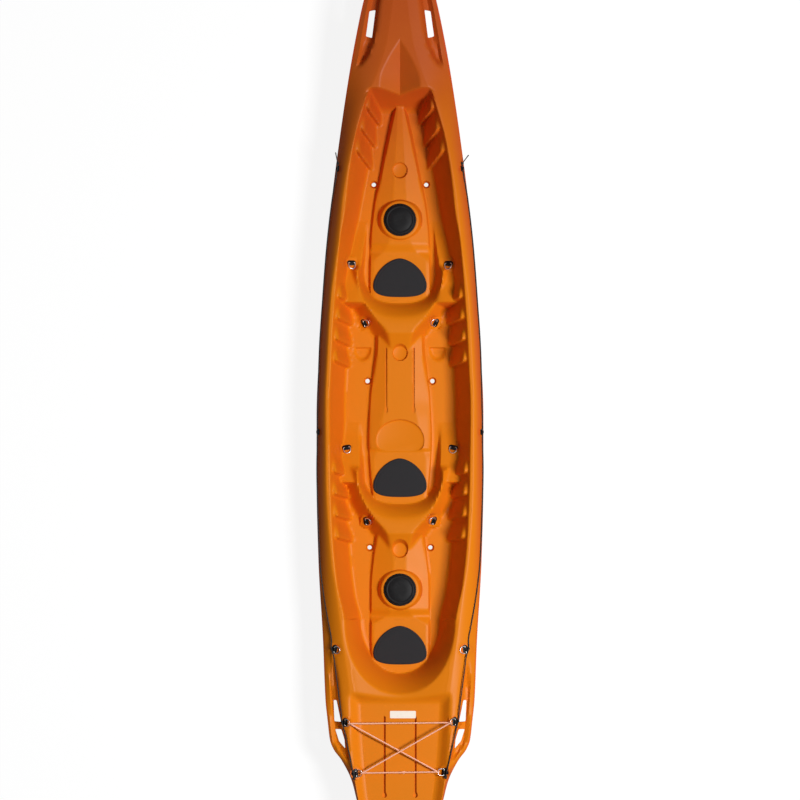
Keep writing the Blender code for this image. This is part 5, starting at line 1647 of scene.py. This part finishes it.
def make_line(side_name, side):
    bow, middle = [tunnel_ends(name, GUIDE_ANGLES[name] - 90, 0, GUIDE_ANGLES[name], 0.010)
                   for name in ("guide_bow_" + side_name, "guide_middle_" + side_name)]
    eyes = [tunnel_ends(name, EYES[name][2], LINE_OFFSET, LINE_ANGLES[name], 0.009)
            for name in [eye + side_name for eye in ("seat3_", "tank_front_", "tank_aft_")]]
    fore = (bow[0] - bow[1]).normalized()
    aft = (eyes[2][1] - eyes[2][0]).normalized()
    first, last = bow[0] + fore * KNOT_MIDDLE, eyes[2][1] + aft * KNOT_MIDDLE
    points = [first, bow[0] + fore * KNOT_START] + bow
    points += line_way(LINE_FORE, side, over_deck) + middle + line_way(LINE_AFT, side, over_deck) + eyes[0]
    points += line_way(LINE_SLOTS, side, above_deck) + eyes[1]
    points += line_way(LINE_TANK, side, above_deck) + eyes[2] + [last]
    path = smooth_path(points, PATH_STEP)
    line = tube(side_name + "_line", LINE, path, LINE_RADIUS, sides=12)
    bow_knot = add_knot(side_name + "_bow_knot", LINE, LINE_KNOT, first, fore, Vector((side * 0.5, 0, 1)))
    aft_knot = add_knot(side_name + "_aft_knot", LINE, LINE_KNOT, last, aft, Vector((0, 0, 1)))
    drop = Vector((*TAILS[side_name], -0.004))
    tail_path = [first + drop * t + Vector((0, 0, 0.006 * t * (1 - t))) for t in turns(12, 1.0)]
    tail = tube(side_name + "_line_tail", LINE, tail_path, TAIL_RADII, sides=10)
    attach(tail, "hull")
    lay_taut(line, path, side_name + "_deck_line")


make_line("port", -1)
make_line("starboard", 1)


# %% [markdown]
# The elastic cord over the tank well
#
# One loop of elastic is laced through the four raised rings, crosses once in the middle, and is
# knotted in its rear run. It is stretched, so its runs are straight. The two crossing runs pass one
# above the other, because each loop goes round its ring from one level to the other.

# %% Elastic cord
# Length of one turn of the braid, and where in the rear run the knot is, with its straight ends
CORD_TURN = 0.009
KNOT_SHARE, KNOT_ENDS = 0.55, (0.004, 0.020)


def ring_tip(name):
    """The middle of a raised ring's round end, and the direction that the ring points in."""
    frame = seat_frame(name, EYES[name][2]) @ Matrix.Translation((0, 0, GAP + BAR_HEIGHT))
    frame = frame @ Matrix.Rotation(math.radians(-RAISED[name]), 4, "Y")
    tip = frame @ Vector((RING_REACH, 0, 0))
    along = frame.to_3x3() @ Vector((1, 0, 0))
    return tip, along


def make_cargo_cord():
    order = ("tank_front_port", "tank_front_starboard", "tank_aft_port", "tank_aft_starboard")
    turn_radius = CORD_RADIUS + WIRE_RADIUS + 0.0006
    loops = []
    for i, name in enumerate(order):
        tip, along = ring_tip(name)
        flat = Vector((along.x, along.y, 0)).normalized()
        loop = [tip + turn_radius * (Vector((0, 0, 1)) * math.cos(t) - flat * math.sin(t)) for t in turns(12)]
        loops.append(loop[::-1] if i < 2 else loop)
    start, end = loops[2][-1], loops[3][0]
    along = (end - start).normalized()
    knot_at = start.lerp(end, KNOT_SHARE)
    points = [knot_at + along * reach for reach in KNOT_ENDS] + loops[3] + loops[0] + loops[1] + loops[2]
    points += [knot_at - along * reach for reach in KNOT_ENDS[::-1]]
    path = []
    for a, b in zip(points, points[1:]):
        steps = max(1, math.ceil((b - a).length / PATH_STEP))
        path += [a.lerp(b, k / steps) for k in range(steps)]
    path.append(points[-1])
    cord = tube("elastic_lacing", ELASTIC, path, CORD_RADIUS, sides=14, turn_length=CORD_TURN)
    knot = add_knot("elastic_knot", ELASTIC, CORD_KNOT, knot_at, along, Vector((0, 0, 1)), CORD_TURN)
    lay_taut(cord, path, "cargo_cord")


make_cargo_cord()


# %% [markdown]
# Drain and plate
#
# The drain is a nylon bush in the stern deck with a slotted plug. The white plate forward of the
# tank well is a thin stick-on film with rounded corners; nothing is written on it.

# %% Drain bush and plug


def make_drain():
    place = (0, DRAIN_Y, DRAIN_HEIGHT + GAP)
    bush = [(0.0090, -0.022), (DRAIN_HOLE - 0.0005, -0.022), (DRAIN_HOLE - 0.0005, 0.0), (0.0190, 0.0),
            (0.0190, 0.0013), (0.0186, 0.0022), (0.0176, 0.0029), (0.0165, 0.0030), (0.0098, 0.0030),
            (0.0090, 0.0024)]
    bush = spun("drain_collar", bush, BLACK_PLASTIC, place, sides=64)
    stand_for(bush, "hull", "drain_bush")
    plug = [(0, -0.016), (0.0076, -0.016), (0.0086, -0.0145), (0.0086, 0.0033), (0.0125, 0.0033),
            (0.0125, 0.0076), (0.0121, 0.0087), (0.0113, 0.0093), (0.0100, 0.0095), (0, 0.0095)]
    plug = spun("drain_screw", plug, BLACK_PLASTIC, place, sides=64)
    slot = prism("coin_slot", oblong(0.009, 0.0012), 0.0073, 0.012, BLACK_PLASTIC, Matrix.Translation(place))
    combine(plug, slot, "DIFFERENCE")
    stand_for(plug, "drain_plug", "drain_plug")


make_drain()


# %% White plate
# Place (x, y), width and depth
PLATE = (0.014, -1.482, 0.1236, 0.0350)
PLATE_THICKNESS, PLATE_CORNER = 0.0010, 0.004


def make_plate():
    x, y, width, depth = PLATE
    reach = np.array([(x + i * width / 2, y + j * depth / 2) for i in (-1, -0.3, 0.3, 1) for j in (-1, 1)])
    height = float(deck_height(reach[:, 0], reach[:, 1]).max())
    bpy.ops.object.select_all(action="DESELECT")
    bpy.ops.mesh.primitive_cube_add(size=1)
    plate = bpy.context.object
    plate.name = "white_plate"
    plate.data.transform(Matrix.Diagonal((width, depth, PLATE_THICKNESS, 1)))
    plate.data.transform(Matrix.Translation((x, y, height + 0.0004)))
    bpy.ops.object.mode_set(mode="EDIT")
    bpy.ops.mesh.select_mode(type="EDGE")
    bpy.ops.mesh.select_all(action="DESELECT")
    bpy.ops.object.mode_set(mode="OBJECT")
    for edge in plate.data.edges:
        first, second = [plate.data.vertices[i].co for i in edge.vertices]
        edge.select = abs(first.z - second.z) > PLATE_THICKNESS / 2
    bpy.ops.object.mode_set(mode="EDIT")
    bpy.ops.mesh.bevel(offset=PLATE_CORNER, segments=8)
    bpy.ops.object.mode_set(mode="OBJECT")
    plate.data.materials.append(LABEL_FILM)
    plate.data.shade_smooth()
    plate.data.set_sharp_from_angle(angle=math.radians(40))
    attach(plate, "hull")
    print("plate", width, "by", depth, "m")


make_plate()
